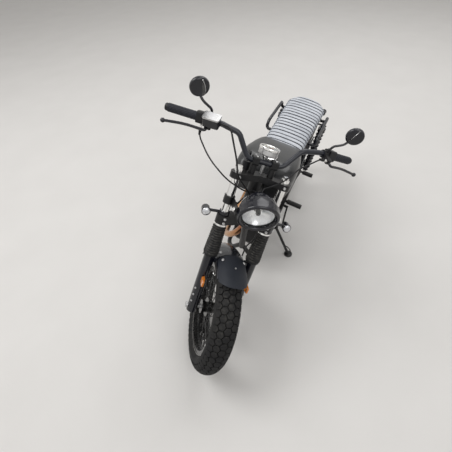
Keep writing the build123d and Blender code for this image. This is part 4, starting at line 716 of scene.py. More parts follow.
class Shape:
    """Faces collected in a local frame and turned into one object."""

    def __init__(self) -> None:
        self.points: List[Vector] = []
        self.faces: List[Tuple[int, ...]] = []
        self.slots: List[int] = []
        self.slot = 0

    def grid(self, rows: Sequence[Sequence[Vector]], closed: bool = True, caps: bool = False) -> None:
        """Adds a skin over rows of points.

        Args:
            rows: rows with the same number of points.
            closed: whether each row is a loop.
            caps: whether the first and last rows are filled.
        """
        start = len(self.points)
        count = len(rows[0])
        for row in rows:
            self.points.extend(row)
        span = count if closed else count - 1
        for r in range(len(rows) - 1):
            for c in range(span):
                a = start + r * count + c
                b = start + r * count + (c + 1) % count
                self._face((a, b, b + count, a + count))
        if caps:
            last = start + (len(rows) - 1) * count
            self._face(tuple(range(start + count - 1, start - 1, -1)))
            self._face(tuple(range(last, last + count)))

    def _face(self, corners: Tuple[int, ...]) -> None:
        self.faces.append(corners)
        self.slots.append(self.slot)

    def lathe(self, place: Matrix, form: Turned) -> None:
        """Adds a turned form about a place's z axis.

        Args:
            place: the axis and its origin.
            form: the form.
        """
        steps = circle(form.segments)
        rows = [
            [place @ Vector((radius * cos, radius * sin, height)) for cos, sin in steps]
            for radius, height in form.profile
        ]
        self.grid(rows, True, form.caps)

    def tube(self, path: Sequence[Vector], radius: float, segments: int) -> None:
        """Adds a round tube along a path.

        Args:
            path: the points of its middle line.
            radius: its radius.
            segments: the number of sides.
        """
        rows = []
        side = (path[1] - path[0]).normalized().orthogonal().normalized()
        for index, point in enumerate(path):
            before = path[max(index - 1, 0)]
            after = path[min(index + 1, len(path) - 1)]
            along = (after - before).normalized()
            side = (side - along * side.dot(along)).normalized()
            other = along.cross(side)
            rows.append([point + (side * cos + other * sin) * radius for cos, sin in circle(segments)])
        self.grid(rows, True, True)

    def prism(self, outline: Sequence[Vector], rise: Vector, inset: float, chamfer: float) -> None:
        """Adds a raised plate with a chamfered top edge.

        Args:
            outline: the corners of its foot.
            rise: from its foot to its top.
            inset: how far the top's corners draw in, as a share.
            chamfer: where the chamfer starts, as a share of the rise.
        """
        middle = sum(outline, Vector()) / len(outline)
        rows = [list(outline), [p + rise * chamfer for p in outline]]
        rows.append([p + (middle - p) * inset + rise for p in outline])
        self.grid(rows, True, True)

    def bolt(self, place: Matrix, radius: float, height: float, hexagonal: bool = False) -> None:
        """Adds a bolt's head, with a socket or six flats.

        Args:
            place: its foot, with z away from the surface.
            radius: the head's radius.
            height: the head's height.
            hexagonal: whether it is a hexagon on a washer, rather than a socket head.
        """
        if hexagonal:
            washer = [(radius * 1.35, 0.0), (radius * 1.35, height * 0.18), (radius * 1.2, height * 0.24)]
            self.lathe(place, Turned(washer, 24))
            head = [(radius, height * 0.2), (radius, height * 0.9), (radius * 0.88, height)]
            self.lathe(place, Turned(head, 6))
            return
        well = radius * 0.5
        rim = [(radius, 0.0), (radius, height * 0.85), (radius * 0.9, height)]
        socket = [(well, height), (well, height * 0.4)]
        self.lathe(place, Turned(rim + socket, 20))

    def build(
        self,
        name: str,
        body: Body,
        materials: Sequence[bpy.types.Material],
        smooth: float = 40.0,
    ) -> bpy.types.Object:
        """Makes the object and puts it on its body.

        Args:
            name: the piece's name.
            body: the body it rides on.
            materials: its materials by slot.
            smooth: edges sharper than this stay sharp, in degrees.

        Returns:
            The object.
        """
        mesh = bpy.data.meshes.new(name)
        mesh.from_pydata([tuple(p) for p in self.points], [], self.faces)
        for material in materials:
            mesh.materials.append(material)
        mesh.polygons.foreach_set("material_index", self.slots)
        mesh.polygons.foreach_set("use_smooth", [True] * len(mesh.polygons))
        mesh.update()
        mesh.set_sharp_from_angle(angle=math.radians(smooth))
        made = bpy.data.objects.new(name, mesh)
        bpy.context.scene.collection.objects.link(made)
        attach(made, body.value)
        return made


def aimed(origin: Vector, direction: Vector) -> Matrix:
    """A place whose z axis points along a direction.

    Args:
        origin: its origin.
        direction: where z points.

    Returns:
        The matrix.
    """
    z = direction.normalized()
    x = z.orthogonal().normalized()
    return matrix_of(origin, x, z.cross(x), z)


def facing(frame: Matrix, point: Sequence[float], way: Sequence[float]) -> Matrix:
    """A place in a moving or leaning frame.

    Args:
        frame: the frame.
        point: the place's origin in that frame.
        way: where its z axis points in that frame.

    Returns:
        The matrix.
    """
    return aimed(frame @ Vector(point), frame.to_3x3() @ Vector(way))


def smooth_path(points: Sequence[Vector], steps: int) -> List[Vector]:
    """A soft curve through points.

    Args:
        points: the points it passes.
        steps: how many pieces each span has.

    Returns:
        The points along the curve.
    """
    path: List[Vector] = []
    for index in range(len(points) - 1):
        a = points[max(index - 1, 0)]
        b, c = points[index], points[index + 1]
        d = points[min(index + 2, len(points) - 1)]
        for step in range(steps):
            t = step / steps
            part = b * 2.0 + (c - a) * t
            part += (a * 2.0 - b * 5.0 + c * 4.0 - d) * (t * t)
            part += (b * 3.0 - a - c * 3.0 + d) * (t * t * t)
            path.append(part * 0.5)
    path.append(points[-1])
    return path


# ---- soft and rubber pieces


@dataclass(frozen=True)
class TreadSizes:
    """A blocky tread.

    Attributes:
        cell: the half width of a block's cell across its corners.
        fill: how much of its cell a block fills.
        depth: the grooves' depth.
        rows: the number of rows of blocks.
        sink: how far a block's foot goes below the grooves.
        chamfer: the height of the chamfer round its top.
        rib: how far the two ribs on each side wall stand out.
        inset: how far the side walls draw in from the solid's.
    """

    cell: float = 0.020
    fill: float = 0.885
    depth: float = 0.0075
    rows: int = 5
    sink: float = 0.0015
    chamfer: float = 0.0012
    rib: float = 0.0011
    inset: float = 0.0012


@dataclass(frozen=True)
class TyreBuilder:
    """Makes a tyre with a blocky tread.

    Attributes:
        place: the wheel's centre, y along the axle.
        radius: the radius to the blocks' tops.
        section: the tyre's width.
        tread: the tread's sizes.
    """

    place: Matrix
    radius: float
    section: float
    tread: TreadSizes = TreadSizes()

    def spot(self, across: float, around: float, height: float) -> Vector:
        """A point near the tread.

        Args:
            across: the distance along the crown from its middle.
            around: the angle about the axle in radians.
            height: the height above the grooves.

        Returns:
            The point in the row frame.
        """
        half = self.section / 2
        turn = across / half
        reach = half - self.tread.depth + height
        radial = self.radius - half + reach * math.cos(turn)
        return self.place @ Vector(
            (radial * math.cos(around), reach * math.sin(turn), radial * math.sin(around))
        )

    def profile(self) -> List[Tuple[float, float]]:
        """Returns:
            The carcass's outline as (across, radius), from bead to bead over the crown.
        """
        half = self.section / 2
        crown = self.radius - half
        floor = half - self.tread.depth
        bead = SIZES.bead_width / 2
        top = SIZES.bead_radius + SIZES.bead_height
        wall = []
        for step in range(13):
            t = step / 12
            width = bead + (half - bead) * math.sin(math.pi / 2 * t) ** 0.8
            height = top + (crown - top) * t
            rib = self.tread.rib if step in (2, 10) else 0.0
            wall.append((width + rib - self.tread.inset, height))
        over = []
        for step in range(1, 18):
            angle = math.radians(86 - step * 10.1)
            ease = 0.0 if abs(angle) < math.radians(66) else self.tread.depth * 0.7
            over.append(((floor + ease) * math.sin(angle), crown + (floor + ease) * math.cos(angle)))
        left = [(bead, SIZES.bead_radius)] + wall + over
        right = [(-y, r) for y, r in wall[::-1]] + [(-bead, SIZES.bead_radius)]
        return left + right

    def make(self, name: str, body: Body, node: str, rubber: bpy.types.Material) -> None:
        """Makes the tyre in place of its solid.

        Args:
            name: the piece's name.
            body: the wheel's body.
            node: the solid it stands for.
            rubber: its material.
        """
        shape = Shape()
        around = 144
        outline = self.profile()
        rows = []
        for step in range(around + 1):
            angle = 2.0 * math.pi * step / around
            cos, sin = math.cos(angle), math.sin(angle)
            rows.append([self.place @ Vector((r * cos, y, r * sin)) for y, r in outline])
        shape.grid(rows, closed=True)
        cell = self.tread.cell
        count = round(2.0 * math.pi * self.radius / (math.sqrt(3.0) * cell))
        pitch = 2.0 * math.pi / count
        for row in range(self.tread.rows):
            across = (row - (self.tread.rows - 1) / 2) * 1.5 * cell
            for index in range(count):
                self._block(shape, across, (index + 0.5 * (row % 2)) * pitch, pitch)
        made = shape.build(name, body, [rubber], 35.0)
        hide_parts(node)

    def _block(self, shape: Shape, across: float, around: float, pitch: float) -> None:
        """Adds one six-sided block with a chamfered top.

        Args:
            shape: where it goes.
            across: its middle across the crown.
            around: its middle about the axle.
            pitch: the angle from block to block.
        """
        depth = self.tread.depth
        foot, shoulder = (1.0, -self.tread.sink), (1.0, depth - self.tread.chamfer)
        rows = []
        for share, height in (foot, shoulder, (0.92, depth), (0.45, depth), (0.02, depth)):
            row = []
            for corner in range(6):
                angle = math.radians(60 * corner)
                s = across + self.tread.cell * self.tread.fill * share * math.cos(angle)
                t = around + pitch / math.sqrt(3.0) * self.tread.fill * share * math.sin(angle)
                row.append(self.spot(s, t, height))
            rows.append(row)
        shape.grid(rows, closed=True, caps=True)


@dataclass(frozen=True)
class SeatSizes:
    """The stitched seat.

    Attributes:
        ribs: the number of sewn rolls across it.
        roll: how far each roll stands up.
        crown: how much higher its middle is than its edges.
        border: the height of the dark lower border.
        bulge: how far its sides swell.
        margin: the plain leather before the first roll and after the last.
        edge: the height of the rounding between the sides and the top.
        inset: how far the sides and the top draw in from the solid's width.
        proud: how far the rolls may stand above the solid.
        valley: a roll's height, as a share, below which the dark valley colour shows: painted shade in the
            creases between the rolls, over the sewn seams.
        start: the gap between the solid's rear end and the first station.
    """

    ribs: int = 18
    roll: float = 0.0095
    crown: float = 0.010
    border: float = 0.020
    bulge: float = 0.004
    margin: float = 0.012
    edge: float = 0.016
    inset: float = 0.004
    proud: float = 0.004
    valley: float = 0.62
    start: float = 0.0008


@dataclass(frozen=True)
class SeatBuilder:
    """Makes the long ribbed seat.

    Attributes:
        place: the upright machine's frame.
        sizes: the seat's sizes.
    """

    place: Matrix
    sizes: SeatSizes = SeatSizes()

    def half_width(self, x: float) -> float:
        """The seat's half width at a station.

        Args:
            x: the station.

        Returns:
            The half width.
        """
        knee = SIZES.seat_rear + 0.9 * SIZES.seat_half
        if x >= knee:
            share = (x - knee) / (SIZES.seat_front - knee)
            return SIZES.seat_half + (SIZES.seat_front_half - SIZES.seat_half) * share
        reach = (knee - x) / (knee - SIZES.seat_rear)
        return SIZES.seat_half * math.sqrt(max(0.0, 1.0 - reach**2.1))

    def rolls(self, x: float) -> float:
        """The height of the sewn rolls at a station, with tight seams between them.

        Args:
            x: the station.

        Returns:
            The height from 0 to 1.
        """
        start = SIZES.seat_rear + self.sizes.margin
        span = SIZES.seat_front - self.sizes.margin - start
        share = (x - start) / span * self.sizes.ribs
        if share <= 0.0 or share >= self.sizes.ribs:
            return 0.0
        within = share - math.floor(share)
        return (1.0 - abs(2.0 * within - 1.0) ** 3.0) ** 0.7

    def section(self, x: float, count: int) -> List[Tuple[float, float]]:
        """The seat's cross-section at a station.

        Args:
            x: the station.
            count: the number of points over the top.

        Returns:
            (across, height) points round the section.
        """
        edge, inset = self.sizes.edge, self.sizes.inset
        half = max(self.half_width(x), 0.0015)
        ends = min(1.0, (x - SIZES.seat_rear) / 0.030, (SIZES.seat_front - x) / 0.022)
        height = SIZES.seat_height * (0.45 + 0.55 * math.sqrt(max(0.0, 1.0 - (1.0 - max(ends, 0.0)) ** 2)))
        roll = self.sizes.roll * self.rolls(x) * max(ends, 0.0)
        border = min(self.sizes.border, height * 0.4)
        side = []
        for step in range(7):
            t = step / 6
            swell = self.sizes.bulge * math.sin(math.pi * t)
            side.append((half - inset + swell, border + (height - border - edge) * t))
        top = []
        for step in range(count + 1):
            t = -1.0 + 2.0 * step / count
            arch = (1.0 - abs(t) ** 5.0) ** 0.5
            lift = (height - edge - self.sizes.roll) + edge * arch * 0.7
            crown = self.sizes.crown * (1.0 - t * t) * 0.6
            level = min(lift + crown + roll * arch**0.5, SIZES.seat_height + self.sizes.proud)
            top.append((-t * (half - inset), level))
        left = [(half - 0.006, 0.0), (half - 0.002, 0.004), (half - 0.003, border - 0.002)] + side[:-1]
        right = [(-y, z) for y, z in left[::-1]]
        return left + top + right

    def make(
        self, name: str, leather: bpy.types.Material, border: bpy.types.Material, valley_shade: bpy.types.Material
    ) -> None:
        """Makes the seat in place of its solid.

        Args:
            name: the piece's name.
            leather: the material of the top.
            border: the material of the lower border.
            valley_shade: the material of the dark valleys between the rolls: painted shade in the creases,
                over the sewn seams.
        """
        shape = Shape()
        stations = self.sizes.ribs * 14
        rear, start = SIZES.seat_rear, self.sizes.start
        rows, heights = [], []
        for step in range(stations + 1):
            x = rear + start + (SIZES.seat_front - rear - start) * (step / stations)
            heights.append(self.rolls(x))
            outline = self.section(x, 36)
            rows.append([self.place @ Vector((x, y, SIZES.seat_base + z)) for y, z in outline])
        shape.grid(rows, closed=True, caps=True)
        columns = len(rows[0])
        # Slot 1 is the dark lower border; slot 2, on the valleys between the rolls, is painted shade in the
        # creases.
        for index in range(len(shape.faces) - 2):
            column = index % columns
            if column < 3 or column >= columns - 4:
                shape.slots[index] = 1
            elif min(heights[index // columns : index // columns + 2]) < self.sizes.valley:
                shape.slots[index] = 2
        made = shape.build(name, Body.CHASSIS, [leather, border, valley_shade], 50.0)
        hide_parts("seat")


class BarFrame:
    """The straight ends of the handlebar."""

    def __init__(self, frames: Frames, side: int, tilt: float = 0.0) -> None:
        """
        Args:
            frames: the machine's frames.
            side: 1 for the left end, -1 for the right.
            tilt: how far its forward direction is turned down, in degrees.
        """
        self.side = side
        knee = Vector((SIZES.bar_reach - 0.022, side * 0.214, SIZES.bar_height + 0.096))
        tip = Vector((SIZES.bar_reach - 0.112, side * 0.415, SIZES.bar_height + 0.084))
        along = (tip - knee).normalized()
        level = (along.cross(Vector((0.0, 0.0, 1.0))) * side).normalized()
        above = along.cross(level) * -side
        turn = math.radians(tilt)
        forward = level * math.cos(turn) - above * math.sin(turn)
        up = above * math.cos(turn) + level * math.sin(turn)
        self.along = (frames.steering.to_3x3() @ along).normalized()
        self.forward = (frames.steering.to_3x3() @ forward).normalized()
        self.up = (frames.steering.to_3x3() @ up).normalized()
        self.tip = frames.steering @ tip

    def spot(self, from_end: float, ahead: float = 0.0, above: float = 0.0) -> Vector:
        """A point beside the bar's end.

        Args:
            from_end: the distance from the bar's tip towards its middle.
            ahead: the distance forward.
            above: the distance up.

        Returns:
            The point in the row frame.
        """
        return self.tip - self.along * from_end + self.forward * ahead + self.up * above


GRIP_RELIEF = 0.0016
GRIP_DIAMONDS_ALONG, GRIP_DIAMONDS_ROUND = 9.0, 8.0
GRIP_PLUG = Turned(((0.0105, 0.0), (0.015, 0.0), (0.015, 0.009), (0.0135, 0.0125), (0.009, 0.014)), 40)


def make_grips(frames: Frames, rubber: bpy.types.Material, plug: bpy.types.Material) -> None:
    """The two grips with their raised diamond pattern.

    Args:
        frames: the machine's frames.
        rubber: the grips' material.
        plug: the material of their end plugs.
    """
    shape = Shape()
    for side in (-1, 1):
        bar = BarFrame(frames, side)
        place = matrix_of(bar.spot(SIZES.grip_length), bar.forward, bar.along.cross(bar.forward), bar.along)
        rings, segments = 96, 72
        rows = []
        for ring in range(rings + 1):
            t = ring / rings
            row = []
            for index, (cos, sin) in enumerate(circle(segments)):
                along, turn = t * GRIP_DIAMONDS_ALONG, index / segments * GRIP_DIAMONDS_ROUND
                first, second = (along + turn) % 1.0, (along - turn) % 1.0
                ridge = min(abs(first - 0.5), abs(second - 0.5)) * 2.0
                radius = SIZES.grip_radius - GRIP_RELIEF + GRIP_RELIEF * min(1.0, ridge * 2.6)
                if t < 0.05 or t > 0.95:
                    radius = SIZES.grip_radius
                row.append(place @ Vector((radius * cos, radius * sin, t * SIZES.grip_length)))
            rows.append(row)
        shape.slot = 0
        shape.grid(rows, True, True)
        shape.slot = 1
        end = place @ Matrix.Translation((0.0, 0.0, SIZES.grip_length + 0.0003))
        shape.lathe(end, GRIP_PLUG)
    made = shape.build("grip_pair", Body.STEERING, [rubber, plug], 30.0)
    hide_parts("grips")


# ---- metal and plastic pieces


# The turned forms of the small pieces, each as (radius, height) along its axis.
BEZEL_LIP = [(0.0675, -0.003), (0.0680, 0.002)]
BEZEL_SKIRT = [(0.0852, -0.014), (0.0846, -0.024)]
BULB_SHIELD = Turned(((0.0105, 0.0), (0.0105, 0.016), (0.009, 0.0195), (0.004, 0.021)))
BULB_SEAT = Turned(((0.018, 0.0), (0.017, 0.003), (0.012, 0.004)))
GAUGE_DIAL = Turned(((0.0378, 0.0002), (0.0378, 0.0008), (0.002, 0.0009)), 64)
NEEDLE_HUB = Turned(((0.0035, 0.001), (0.0035, 0.0026), (0.0015, 0.003)), 20)
GAUGE_RING = Turned(
    (
        (0.0380, 0.0010), (0.0385, 0.0058), (0.0400, 0.0072), (0.0425, 0.0072), (0.0436, 0.0058),
        (0.0436, -0.0020), (0.0423, -0.0040),
    ),
    64,
    False,
)
GAUGE_GLASS = Turned(((0.0384, 0.0040), (0.0384, 0.0052), (0.020, 0.0060), (0.001, 0.0062)), 64)
FENDER_BOLT = Turned(((0.0072, 0.0), (0.0070, 0.0018), (0.0055, 0.0036), (0.0025, 0.0045)), 24)
PLATE_RIVET = Turned(((0.0045, 0.0), (0.0042, 0.0012), (0.002, 0.002)), 20)
LOWER_STRAP = Turned(((0.0322, 0.0), (0.0334, 0.001), (0.0334, 0.006), (0.0322, 0.007)), 48, False)
UPPER_STRAP = Turned(((0.0262, 0.0), (0.0274, 0.001), (0.0274, 0.005), (0.0262, 0.006)), 48, False)
SPOKE_NIPPLE = Turned(((0.0028, -0.008), (0.0032, 0.006)), 10)
CHAIN_PIN = Turned(((0.0022, -0.0004), (0.0022, 0.0148)), 8)
CHAIN_ROLLER = Turned(((0.0048, 0.0036), (0.0048, 0.0108)), 12)
COVER_CAP = Turned(
    ((0.050, -0.001), (0.050, 0.0015), (0.047, 0.003), (0.040, 0.0032), (0.038, 0.0012), (0.001, 0.0012)),
    64,
)
SIDE_CAP = Turned(((0.026, -0.001), (0.026, 0.003), (0.022, 0.005), (0.014, 0.005), (0.012, 0.003)), 48)
PLUG_BOOT = Turned(((0.006, 0.0), (0.0085, 0.006), (0.0085, 0.034), (0.0055, 0.040)), 20)
LOCK_COVER = Turned(((0.018, 0.0), (0.018, 0.003), (0.016, 0.0042), (0.004, 0.0045)), 40)
CLUTCH_ADJUSTER = Turned(((0.0065, 0.0), (0.0065, 0.006), (0.005, 0.007), (0.005, 0.016)), 16)
CLUTCH_BOOT = Turned(((0.0055, 0.0), (0.007, 0.004), (0.0045, 0.028)), 20)
THROTTLE_ADJUSTER = Turned(((0.0055, 0.0), (0.0055, 0.008), (0.0042, 0.009), (0.0042, 0.020)), 16)
THROTTLE_BOOT = Turned(((0.005, 0.0), (0.0065, 0.004), (0.004, 0.024)), 20)
SIGNAL_RING = Turned(((0.0176, -0.006), (0.0192, -0.005), (0.0192, 0.0), (0.0168, 0.0012)), 48, False)
SIGNAL_LENS = Turned(
    ((0.0168, 0.0), (0.0158, 0.0028), (0.012, 0.0052), (0.006, 0.0066), (0.001, 0.0070)), 48
)
TAIL_RING = Turned(((0.0342, -0.030), (0.0356, -0.028), (0.0356, -0.022), (0.0342, -0.020)), 64, False)
LENS_RIB = ((0.0, -0.0008), (0.001, 0.0008), (0.003, 0.0008), (0.004, -0.0008))
RIB_RADII = (0.008, 0.014, 0.020)

# On the steering, from the foot of its axis: x forward, y left, z up the axis.
CLAMP_BOLT_HEIGHTS = (0.495, 0.515, 0.708)
LEG_BOLT_HEIGHTS = (0.045, 0.085, 0.125)
RISER_BOLT_STEP, RISER_SIDE, RISER_TOP = 0.013, 0.042, 0.794
GAITER_FOOT, GAITER_TOP = 0.3205, 0.4700
FRONT_SIGNAL_HEIGHT, SIGNAL_DEPTH = 0.5333, 0.0222
STAY_ROUTE = ((0.020, 0.0745, 0.286), (0.090, 0.0750, 0.240), (0.200, 0.0735, 0.190))
# On the front fender: its section, then (angle in degrees, across, lift) for what sits on it.
FENDER_RADIUS, FENDER_HALF, FENDER_DROP = 0.3359, 0.068, 0.036
FENDER_BOLTS = ((93.0, 0.050, 0.0028), (82.0, 0.046, 0.0082))
RIVET_SPOT = (73.0, 0.0, 0.0082)
# On the wheels, from their centres.
EDGE_RADIUS, EDGE_SIDE, EDGE_WIRE = 0.2294, 0.0404, 0.0022
NIPPLE_RADIUS, NIPPLE_SIDE = 0.1868, 0.006
TEETH, TOOTH_ROOT, TOOTH_HEIGHT = 39, 0.0905, 0.0075
SPROCKET_FACES = (0.0755, 0.0805)
# On the chassis, from the ground under the rear axle: x forward, y left, z up.
COVER_PLACE, COVER_BOLTS, COVER_BOLT_RADIUS = (0.647, 0.123, 0.305), 8, 0.066
SIDE_CAP_PLACE = (0.739, 0.1008, 0.301)
PLUG_PLACE = (0.752, 0.055, 0.585)
CAP_PLACE = (0.856, 0.0, 0.9393)
KNURL_RADIUS, KNURL_DEPTH, KNURL_POINTS = 0.0345, 0.0008, 144
REAR_SIGNAL_REACH, REAR_SIGNAL_SIDE, REAR_LAMP_HEIGHT = -0.310, 0.0944, 0.585
TAIL_LAMP_REACH = -0.3622


class ChainLine:
    """The closed line of a chain round its two sprockets, in the upright machine."""

    FRONT = Vector((0.502, 0.078, 0.330))
    REAR = Vector((0.0, 0.078, SIZES.rear_radius))
    FRONT_RADIUS = 0.0395
    REAR_RADIUS = 0.0995
    PITCH = 0.015875

    def __init__(self) -> None:
        span = self.FRONT - self.REAR
        length = Vector((span.x, span.z)).length
        tilt = math.atan2(span.z, span.x)
        lean = math.asin((self.REAR_RADIUS - self.FRONT_RADIUS) / length)
        self.straight = length * math.cos(lean)
        self.front_arc = self.FRONT_RADIUS * (math.pi - 2 * lean)
        rear_arc = self.REAR_RADIUS * (math.pi + 2 * lean)
        self.total = 2 * self.straight + rear_arc + self.front_arc
        self.upper = tilt + math.pi / 2 - lean
        self.lower = tilt - math.pi / 2 + lean

    @staticmethod
    def _rim(centre: Vector, radius: float, angle: float) -> Vector:
        """A point of a sprocket's pitch circle.

        Args:
            centre: the sprocket's middle.
            radius: its pitch radius.
            angle: the angle up from straight ahead.

        Returns:
            The point's reach and height.
        """
        return Vector((centre.x + radius * math.cos(angle), centre.z + radius * math.sin(angle)))

    def _front(self, angle: float) -> Vector:
        return self._rim(self.FRONT, self.FRONT_RADIUS, angle)

    def _rear(self, angle: float) -> Vector:
        return self._rim(self.REAR, self.REAR_RADIUS, angle)

    def spot(self, distance: float) -> Vector:
        """A point of the line.

        Args:
            distance: its distance along the line, from the top of the rear sprocket.

        Returns:
            The point.
        """
        d = distance % self.total
        if d < self.straight:
            begin, end = self._rear(self.upper), self._front(self.upper)
            flat = begin + (end - begin) * (d / self.straight)
        elif d < self.straight + self.front_arc:
            flat = self._front(self.upper - (d - self.straight) / self.FRONT_RADIUS)
        elif d < 2 * self.straight + self.front_arc:
            begin, end = self._front(self.lower), self._rear(self.lower)
            flat = begin + (end - begin) * ((d - self.straight - self.front_arc) / self.straight)
        else:
            flat = self._rear(self.lower - (d - 2 * self.straight - self.front_arc) / self.REAR_RADIUS)
        return Vector((flat.x, self.REAR.y, flat.y))


class Details:
    """The small pieces that the solids leave out."""

    def __init__(self, frames: Frames, materials: Materials) -> None:
        """
        Args:
            frames: the machine's frames.
            materials: the scene's materials.
        """
        self.frames = frames
        self.materials = materials

    def _build(
        self, shape: Shape, name: str, body: Body, *looks: str, smooth: float = 40.0
    ) -> bpy.types.Object:
        """Makes a piece with named materials.

        Args:
            shape: its faces.
            name: its name.
            body: the body it rides on.
            looks: the names of its materials by slot.
            smooth: edges sharper than this stay sharp, in degrees.

        Returns:
            The piece.
        """
        return shape.build(name, body, [self.materials.get(look) for look in looks], smooth)

    def headlamp(self) -> None:
        """Adds the bezel, the bulb with its shield, and the bolts that hold the shell."""
        steering = self.frames.steering
        tilt = Matrix.Rotation(math.radians(SIZES.rake + SIZES.lamp_tilt), 4, "Y")
        outward = Matrix.Rotation(math.pi / 2, 4, "Y")
        place = steering @ Matrix.Translation(SIZES.lamp_place) @ tilt @ outward
        bezel = Shape()
        rim = []
        for step in range(15):
            angle = math.pi * (step / 14) - 0.35
            rim.append((0.0765 + 0.0085 * math.cos(angle), 0.0035 + 0.0085 * math.sin(angle)))
        bezel.lathe(place, Turned(BEZEL_LIP + rim[::-1] + BEZEL_SKIRT, 96, False))
        self._build(bezel, "lamp_bezel", Body.STEERING, "gloss_black")
        bulb = Shape()
        bulb.lathe(place @ Matrix.Translation((0, 0, -0.036)), BULB_SHIELD)
        bulb.slot = 1
        bulb.lathe(place @ Matrix.Translation((0, 0, -0.040)), BULB_SEAT)
        self._build(bulb, "lamp_bulb", Body.STEERING, "plastic_black", "chrome")
        bolts = Shape()
        reach, aside, height = SIZES.lamp_pivot
        for side in (-1, 1):
            pivot = facing(steering, (reach, side * aside, height), (0, side, 0))
            bolts.bolt(pivot, 0.0075, 0.006, True)
        self._build(bolts, "lamp_bolts", Body.STEERING, "chrome")

    def gauge(self) -> None:
        """Adds the gauge's dial with its marks and needle, the bright ring and the glass."""
        steering = self.frames.steering
        up = steering.to_3x3() @ Vector((0, 0, 1))
        centre = Vector(SIZES.gauge_place)
        place = steering @ Matrix.Translation(centre + Vector((0, 0, SIZES.gauge_depth - 0.005)))
        dial = Shape()
        dial.lathe(place, GAUGE_DIAL)
        dial.slot = 1
        for index in range(25):
            angle = math.radians(-135 + 270 * index / 24)
            length, half = (0.006, 0.0006) if index % 4 == 0 else (0.0035, 0.0003)
            outer = 0.0355
            inner = outer - length
            across = Vector((math.cos(angle), math.sin(angle), 0))
            aside = Vector((-math.sin(angle), math.cos(angle), 0)) * half
            corners = [
                across * outer - aside,
                across * outer + aside,
                across * inner + aside,
                across * inner - aside,
            ]
            lifted = [place @ (corner + Vector((0, 0, 0.0009))) for corner in corners]
            dial.prism(lifted, up * 0.0003, 0.0, 0.5)
        dial.slot = 2
        turned = Matrix.Rotation(math.radians(128), 4, "Z")
        needle = [(-0.004, 0.0012), (-0.004, -0.0012), (0.029, -0.0004), (0.029, 0.0004)]
        dial.prism([place @ turned @ Vector((x, y, 0.0014)) for x, y in needle], up * 0.0006, 0.0, 0.5)
        dial.lathe(place, NEEDLE_HUB)
        self.materials.get("dial_white", flat_white)
        self._build(dial, "gauge_dial", Body.STEERING, "dial_white", "plastic_black", "amber")
        ring = Shape()
        ring.lathe(place, GAUGE_RING)
        self._build(ring, "gauge_ring", Body.STEERING, "chrome")
        glass = Shape()
        glass.lathe(place, GAUGE_GLASS)
        self.materials.get("clear_lens", lens_glass)
        self._build(glass, "gauge_glass", Body.STEERING, "clear_lens")

    def fender_spot(self, angle: float, across: float, lift: float) -> Matrix:
        """A place on the front fender, with z out of its surface.

        Args:
            angle: the angle from straight ahead in degrees.
            across: the distance to the left of its middle.
            lift: the height above its surface.

        Returns:
            The place.
        """
        half, drop = FENDER_HALF, FENDER_DROP
        curve = (half * half + drop * drop) / (2.0 * drop)
        turn = math.asin(across / curve)
        radial = FENDER_RADIUS - curve + (curve + lift) * math.cos(turn)
        aside = (curve + lift) * math.sin(turn)
        cos, sin = math.cos(math.radians(angle)), math.sin(math.radians(angle))
        out = (math.cos(turn) * cos, math.sin(turn), math.cos(turn) * sin)
        return facing(self.frames.front_wheel, (radial * cos, aside, radial * sin), out)

    def fender(self) -> None:
        """Adds the fender's bolts, the plate's rivet and the thin stays."""
        bolts, stays = Shape(), Shape()
        for angle, across, lift in FENDER_BOLTS:
            for side in (1, -1):
                bolts.lathe(self.fender_spot(angle, side * across, lift), FENDER_BOLT)
        bolts.lathe(self.fender_spot(*RIVET_SPOT), PLATE_RIVET)
        self._build(bolts, "fender_bolts", Body.STEERING, "alloy")
        for side in (-1, 1):
            route = [Vector((SIZES.fork_offset - back, side * out, up)) for back, out, up in STAY_ROUTE]
            stays.tube([self.frames.steering @ p for p in smooth_path(route, 6)], 0.003, 10)
        self._build(stays, "fender_stays", Body.STEERING, "frame_black")

    def fork(self) -> None:
        """Adds the bolts of the clamps, the legs and the bar, and the gaiters' straps."""
        steering = self.frames.steering
        bolts, straps = Shape(), Shape()
        offset, across = SIZES.fork_offset, SIZES.fork_side
        for side in (-1, 1):
            for height in CLAMP_BOLT_HEIGHTS:
                clamp = (offset + 0.0285, side * (across - 0.004), height)
                bolts.bolt(facing(steering, clamp, (1, 0, 0)), 0.006, 0.006)
            for height in LEG_BOLT_HEIGHTS:
                leg = (offset + 0.018, side * (across + 0.0188), height)
                bolts.bolt(facing(steering, leg, (0.69, side * 0.72, 0)), 0.0052, 0.004)
            for ahead in (-RISER_BOLT_STEP, RISER_BOLT_STEP):
                riser = (SIZES.bar_reach + ahead, side * RISER_SIDE, RISER_TOP)
                bolts.bolt(facing(steering, riser, (0, 0, 1)), 0.0045, 0.005)
            place = steering @ Matrix.Translation((offset, side * across, 0.0))
            straps.lathe(place @ Matrix.Translation((0, 0, GAITER_FOOT)), LOWER_STRAP)
            straps.lathe(place @ Matrix.Translation((0, 0, GAITER_TOP)), UPPER_STRAP)
        self._build(bolts, "fork_bolts", Body.STEERING, "alloy")
        self._build(straps, "gaiter_straps", Body.STEERING, "plastic_black")

